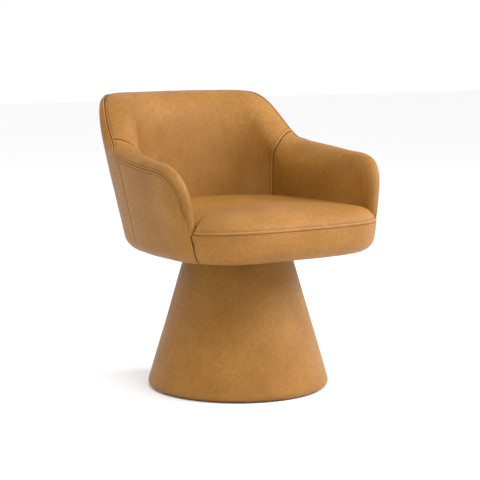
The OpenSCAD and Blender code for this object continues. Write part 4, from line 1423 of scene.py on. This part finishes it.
def cone_profile(depth):
    """Radius and height up the cone: in under the foot, round it, up the side, over the top."""
    foot_height, top_height = cone_lift + cone_foot_round, cone_top - cone_top_round
    foot_middle = cone_side(foot_height) - cone_foot_round / np.cos(lean)
    top_middle = cone_side(top_height) - cone_top_round / np.cos(lean)
    t = np.linspace(0, 1, cone_round_rows)
    low, high = mix(-np.pi / 2, lean, t), mix(lean, np.pi / 2, t)
    radius = np.concatenate([
        [foot_opening_radius],
        foot_middle + (cone_foot_round - depth) * np.cos(low),
        top_middle + (cone_top_round - depth) * np.cos(high),
        [top_opening_radius],
    ])
    height = np.concatenate([
        [cone_lift + depth],
        foot_height + (cone_foot_round - depth) * np.sin(low),
        top_height + (cone_top_round - depth) * np.sin(high),
        [cone_top - depth],
    ])
    return np.stack([radius, height], axis=-1)


profile = cone_profile(0.0)
profile_run = run_of(profile[None], 1)[0]
profile_marks = np.linspace(0, profile_run[-1], cone_rows)
radius = np.interp(profile_marks, profile_run, profile[:, 0])
height = np.interp(profile_marks, profile_run, profile[:, 1])
around_length = 2 * np.pi * cone_foot_radius
around = spaced(around_length, cone_columns)[0][:-1] / around_length * 2 * np.pi
cone_points = np.stack([
    -radius[None, :] * np.sin(around)[:, None],
    radius[None, :] * np.cos(around)[:, None],
    height[None, :] + 0 * around[:, None],
], axis=-1)
print("the cone's grid is", cone_points.shape[:2])

# %% The cone's seam and mesh
turn_back = np.minimum(around, 2 * np.pi - around)[:, None] * radius[None, :]
# The seam behind the cone gets a dark line: dust and painted shade.
cone_move, cone_dark = seam_relief(turn_back, None)
square = normals(np.concatenate([cone_points[-1:], cone_points, cone_points[:1]]))[1:-1]
cone_face = cone_points + square * (cone_move + softness(cone_points))[..., None]
cone_leather = new_piece(
    "cone_leather", cone_face, grid_faces(*cone_face.shape[:2], closed=True), tan_leather,
    {"seam": cone_dark},
)
give_thickness(cone_leather, leather)
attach(cone_leather, "pedestal")
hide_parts("cone_cover")
print("the cone's cover reaches", round(float(cone_face[..., 2].max()), 4))

# %% [markdown]
# ## Foams and wadding
# Under each hide lies the pad that gives it its roundness. They are closed sheets between two
# depths of the same skin, so they fit under the covers by construction.


# %% Foam pieces
def new_pad(name, face, rear, material, body):
    """A closed sheet between two grids, hung on its body, and the frame's piece of that name hidden.
    """
    points = np.concatenate([face.reshape(-1, 3), rear.reshape(-1, 3)])
    pad = new_piece(name, points, sheet_faces(*face.shape[:2]), material)
    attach(pad, body)
    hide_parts(name)
    print(name, "has", len(points), "points")


pad_clearance = 0.0026
foam_reach_share = 0.9
pad_rows = 40
arm_pad_columns, back_pad_columns, wadding_columns = 60, 110, 220
foam_gap_share = 0.003
foam_end_share = 0.004


def foam_face(station):
    """The foam's face: the whole half round and the lining, one clearance below the leather."""
    depth = padding_depth + pad_clearance
    outer = outer_columns(station, depth)[:, 3 * fine_rows:]
    inner = inner_columns(station, depth)
    inner = inner[:, :int(lining_rows * foam_reach_share)]
    return even(np.concatenate([outer, inner], axis=1), pad_rows)


def foam_rear(station):
    """The foam's back: over the frame's top edge and down its inner face."""
    share = (1 - np.abs(1 - station))[:, None]
    t = np.linspace(0, 1, fine_rows)[None, :]
    base, out = roll(share, 0.0, 0.0), rim_outward(share)
    middle = (frame_depth + lining_depth) / 2
    cap = (
        base[0] + np.degrees(out[0] * air / half_width) + 0 * t,
        base[1] + out[1] * air + 0 * t,
        middle - (lining_depth - middle) * np.cos(np.pi * t),
    )
    high, foot = roll(share, 0.0, lining_depth), foot_line(share)
    down = (mix(high[0], foot, t), mix(high[1], foam_foot, t), lining_depth + 0 * t)
    parts = [skin(*cap), skin(*down)]
    return even(on_side(np.concatenate(parts, axis=1), station), pad_rows)


arm_end = inside_seam_share - foam_gap_share
back_start = inside_seam_share + foam_gap_share
foam_stations = {
    "right_arm_foam": (foam_end_share, arm_end, arm_pad_columns),
    "back_foam": (back_start, 2 - back_start, back_pad_columns),
    "left_arm_foam": (2 - arm_end, 2 - foam_end_share, arm_pad_columns),
}
for name, (first, last, count) in foam_stations.items():
    station = np.linspace(first, last, count)
    new_pad(name, foam_face(station), foam_rear(station), finishes["foam"], "seat")

# %% Wadding outside the frame
wadding_clearance = 0.0008
wadding_end_share = 0.002
band_pad_columns, band_pad_rows = 60, 24


def wadding_layer(station, depth):
    """The outside wall and its rounded edge, at one depth below the leather."""
    points = outer_columns(station, depth)[:, fine_rows:3 * fine_rows]
    return even(points, pad_rows)


near_depth = padding_depth + wadding_clearance
far_depth = padding_depth + padding - wadding_clearance
station = np.linspace(wadding_end_share, 2 - wadding_end_share, wadding_columns)
new_pad(
    "outer_padding",
    wadding_layer(station, near_depth),
    wadding_layer(station, far_depth),
    finishes["wadding"], "seat",
)


def band_layer(depth):
    """The band above its margin, at one depth below the leather, less the row at the seam."""
    angle = np.linspace(-front_end_angle, front_end_angle, band_pad_columns)
    return even(band_columns(angle, depth)[:, fine_rows:], band_pad_rows)[:, :-1]


new_pad(
    "front_padding", band_layer(near_depth), band_layer(far_depth),
    finishes["wadding"], "seat",
)

# %% Foam of the seat and of the cone
seat_inset = leather + pad_clearance
seat_foam_rows = 30
deck_part_share = 0.86
foam_top = even(soft_seat(seat_inset), seat_foam_rows)
rail_clear_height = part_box("front_rail")[1].z + 3 * air
foam_low = foam_top[:, :1].copy()
foam_low[..., :2] = mix(seat_middle, foam_low[..., :2], deck_part_share)
foam_low[..., 2] = deck_top + air
foam_shoulder = foam_low.copy()
foam_shoulder[..., 2] = rail_clear_height
foam_step = foam_top[:, :1].copy()
foam_step[..., 2] = rail_clear_height + air
rings = np.concatenate([foam_low, foam_shoulder, foam_step, foam_top], axis=1)
columns, rows = rings.shape[:2]
first, last = np.arange(columns) * rows, np.arange(columns) * rows + rows - 1
top_fan = np.stack([last, np.roll(last, -1), np.full(columns, columns * rows)], axis=-1)
low_fan = np.stack([np.roll(first, -1), first, np.full(columns, columns * rows + 1)], axis=-1)
poles = np.array([rings[:, -1].mean(axis=0), [*seat_middle, deck_top + air]])
seat_pad = new_piece(
    "seat_pad", np.concatenate([rings.reshape(-1, 3), poles]),
    [*grid_faces(columns, rows, closed=True), *top_fan, *low_fan], finishes["foam"],
)
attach(seat_pad, "seat")
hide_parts("seat_foam")
print("the seat's foam has", len(rings.reshape(-1, 3)), "points")

# %% [markdown]
# ## Stitches
# Topstitching shows as short dashes beside the seams. A texture would blur at this size, so each
# stitch is a tiny capsule of a few dozen faces, with painted shade at both ends where the needle
# went in. All stitches of one seam are one mesh: the same capsule is placed along the line by one
# product of arrays.

# %% Stitches
stitch_pitch = 0.0064
stitch_length = 0.0060
stitch_radius = 0.00055
stitch_sink = 0.0001
capsule_sides = 6
along_shares = np.array([-1, -0.5, -0.45, 0, 0.45, 0.5, 1])
width_shares = np.array([1.2, 1.8, 0.9, 1, 0.9, 1.8, 1.2])
height_shares = np.array([0.3, 0.5, 0.9, 1.2, 0.9, 0.5, 0.3])
# Painted shade along each stitch, darkest in the needle's pits at both ends.
pit_shade_shares = np.array([1, 1, 0.5, 0, 0.5, 1, 1])
capsule_rings = len(along_shares)
visible_share = 0.8


def capsule():
    """A stitch along x: an ellipse carried along it, whose width and height go by listed shares,
    from the flat pit that the needle left at one end to the pit at the other."""
    turn = np.arange(capsule_sides) / capsule_sides * 2 * np.pi
    x = (along_shares * stitch_length / 2)[:, None] + 0 * turn
    y = (width_shares * stitch_radius)[:, None] * np.cos(turn)
    z = (height_shares * stitch_radius)[:, None] * np.sin(turn)
    return np.stack([x, y, z], axis=-1).reshape(-1, 3)


def capsule_faces():
    """Sides as a closed grid, and one face on each end."""
    rings = grid_faces(capsule_sides, capsule_rings, closed=True)
    side, ring = rings // capsule_rings, rings % capsule_rings
    end = np.arange(capsule_sides)
    ends = np.stack([end, (capsule_rings - 1) * capsule_sides + end[::-1]])
    return (ring * capsule_sides + side)[:, ::-1], ends


def stitches(name, line, square, body):
    """Capsules at an even pitch along a line of points with their surface normals. The first and
    the last place stay empty, as the thread ends before the corner."""
    run = run_of(line[None], 1)[0]
    count = int(run[-1] / stitch_pitch)
    marks = (np.arange(1, count - 1) + 0.5) * run[-1] / count
    count = len(marks)
    centre = np.stack([np.interp(marks, run, line[:, k]) for k in range(3)], axis=-1)
    up = np.stack([np.interp(marks, run, square[:, k]) for k in range(3)], axis=-1)
    up /= np.linalg.norm(up, axis=-1, keepdims=True)
    ahead = np.gradient(centre, axis=0)
    ahead -= (ahead * up).sum(axis=-1, keepdims=True) * up
    ahead /= np.linalg.norm(ahead, axis=-1, keepdims=True)
    axes = np.stack([ahead, np.cross(up, ahead), up], axis=1)
    shape = capsule()
    points = centre[:, None] - up[:, None] * stitch_sink + np.einsum("vk,nkc->nvc", shape, axes)
    quads, ends = capsule_faces()
    step = len(shape) * np.arange(count)[:, None, None]
    faces = [*(quads + step).reshape(-1, 4), *(ends + step).reshape(-1, capsule_sides)]
    # Painted shade for the needle's pits, read by the thread's material.
    pit_shades = np.tile(np.repeat(pit_shade_shares, capsule_sides), count)
    piece = new_piece(name, points, faces, waxed_thread, {"seam": pit_shades})
    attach(piece, body)
    print(name, "has", count, "stitches")


def row_line(points, offset):
    """The line at an offset from a grid's first row, with its normals."""
    run = run_of(points, 1)
    index = np.argmin(np.abs(run - offset), axis=1)
    take = index[:, None, None]
    line = np.take_along_axis(points, take, axis=1)[:, 0]
    return line, np.take_along_axis(normals(points), take, axis=1)[:, 0]


for name, grid in inside.items():
    line, square = row_line(grid, rim_stitch_offset)
    stitches(name + "_rim_stitches", line, square, "seat")

# %% Stitches of the inside back and of the seat
back_grid = inside["inside_back"]
visible_rows = int(back_grid.shape[1] * visible_share)
for name, grid in (("right", back_grid), ("left", back_grid[::-1])):
    turned = np.swapaxes(grid, 0, 1)[:visible_rows]
    line, square = row_line(turned, inside_stitch_offset)
    stitches(name + "_inside_seam_stitches", line, square if name == "left" else -square, "seat")
line, square = row_line(seat_face[:front_count], seat_stitch_offset)
stitches("seat_front_stitches", line, square, "seat")

# %% [markdown]
# ## Foam round the cone and the dust cover
# The cone's thin foam is the same profile turned round the axis at two depths. The dust cover is
# a flat cloth stapled under the tub, between the swivel's opening and the turned leather.

# %% Foam of the cone
cone_foam_thickness = 0.004
cone_foam_columns = 120
cone_foam_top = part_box("cone_foam")[1].z


def turned_layer(depth):
    """The cone's profile at one depth, from the foot to the top edge, round the axis."""
    rounded = cone_profile(depth)[1:cone_round_rows + 1]
    top = np.array([[cone_side(cone_foam_top) - depth / np.cos(lean), cone_foam_top]])
    radius, height = np.concatenate([rounded, top]).T
    turn = np.linspace(0, 2 * np.pi, cone_foam_columns, endpoint=False)[:, None]
    return np.stack([radius * np.cos(turn), radius * np.sin(turn), height + 0 * turn], axis=-1)


face = turned_layer(padding_depth + wadding_clearance)
rear = turned_layer(padding_depth + cone_foam_thickness)[:, ::-1]
ring = np.concatenate([face, rear], axis=1)
columns, rows = ring.shape[:2]
first = np.arange(columns) * rows
beside = np.roll(first, -1)
closing = np.stack([first + rows - 1, beside + rows - 1, beside, first], axis=-1)
wrap_faces = np.concatenate([grid_faces(columns, rows, closed=True), closing])
cone_wrap = new_piece("cone_wrap", ring, wrap_faces, finishes["foam"])
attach(cone_wrap, "pedestal")
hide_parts("cone_foam")
print("the cone's foam has", len(wrap_faces), "faces")

# %% The dust cover
nodes["dust_cover"].data.materials.clear()
nodes["dust_cover"].data.materials.append(finishes["lining_cloth"])
print("the dust cover is dressed")

# %% [markdown]
# ## The studio
# The chair stands on a white floor in soft light from the right, with a white room all round. One
# area light from the right gives the shading, a second one high in front lifts the seat and the
# inside of the back, and the world fills the rest.

# %% Floor and light
floor_half = 14.0
floor_white = 0.92
floor_roughness = 0.8
world_strength = 1.02
floor_mesh = bpy.data.meshes.new("floor")
corners = [(x * floor_half, y * floor_half, 0) for x, y in ((-1, -1), (1, -1), (1, 1), (-1, 1))]
floor_mesh.from_pydata(corners, [], [(0, 1, 2, 3)])
floor_material, _, floor_shader = new_material("white_sweep")
floor_shader.inputs["Base Color"].default_value = (floor_white, floor_white, floor_white, 1)
floor_shader.inputs["Roughness"].default_value = floor_roughness
floor_mesh.materials.append(floor_material)
floor = bpy.data.objects.new("floor", floor_mesh)
bpy.context.scene.collection.objects.link(floor)


def soft_light(name, place, aim, size, power):
    """A square area light at a place, aimed at a point."""
    light = bpy.data.lights.new(name, "AREA")
    light.shape = "SQUARE"
    light.size = size
    light.energy = power
    lamp = bpy.data.objects.new(name, light)
    lamp.location = place
    lamp.rotation_euler = (Vector(aim) - Vector(place)).to_track_quat("-Z", "Y").to_euler()
    bpy.context.scene.collection.objects.link(lamp)


light_aim = (0, 0, 0.4)
soft_light("key", (2.6, -1.6, 2.2), light_aim, size=1.5, power=140)
soft_light("front", (-1.0, -1.6, 3.4), light_aim, size=1.8, power=74)
bpy.context.scene.view_settings.view_transform = "Standard"
world = bpy.data.worlds.new("white_room")
world.use_nodes = True
background = world.node_tree.nodes["Background"]
background.inputs["Color"].default_value = (1, 1, 1, 1)
background.inputs["Strength"].default_value = world_strength
bpy.context.scene.world = world
print("the studio has 2 lights")

# %% [markdown]
# ## The camera
# The chair was photographed with a long lens from a little above the arms, turned to the
# sitter's right, so the camera stands more than four metres away.

# %% Camera
camera_turn = np.radians(-33.455)
camera_lift = np.radians(7.9025)
camera_distance = 4.2997
camera_aim = Vector((0, 0, 0.366))
picture_size = 480
sensor_width = 36
focal_pixels = 1625.5
centre_pixel_x, centre_pixel_y = 238.17, 247.93
camera_data = bpy.data.cameras.new("camera")
camera_data.sensor_width = sensor_width
camera_data.lens = sensor_width * focal_pixels / picture_size
camera_data.shift_x = (picture_size / 2 - centre_pixel_x) / picture_size
camera_data.shift_y = (centre_pixel_y - picture_size / 2) / picture_size
camera = bpy.data.objects.new("camera", camera_data)
direction = Vector((
    np.sin(camera_turn) * np.cos(camera_lift),
    -np.cos(camera_turn) * np.cos(camera_lift),
    np.sin(camera_lift),
))
camera.location = camera_aim + direction * camera_distance
camera.rotation_euler = (-direction).to_track_quat("-Z", "Y").to_euler()
bpy.context.scene.collection.objects.link(camera)
bpy.context.scene.camera = camera
print("the camera stands at", [round(value, 3) for value in camera.location])
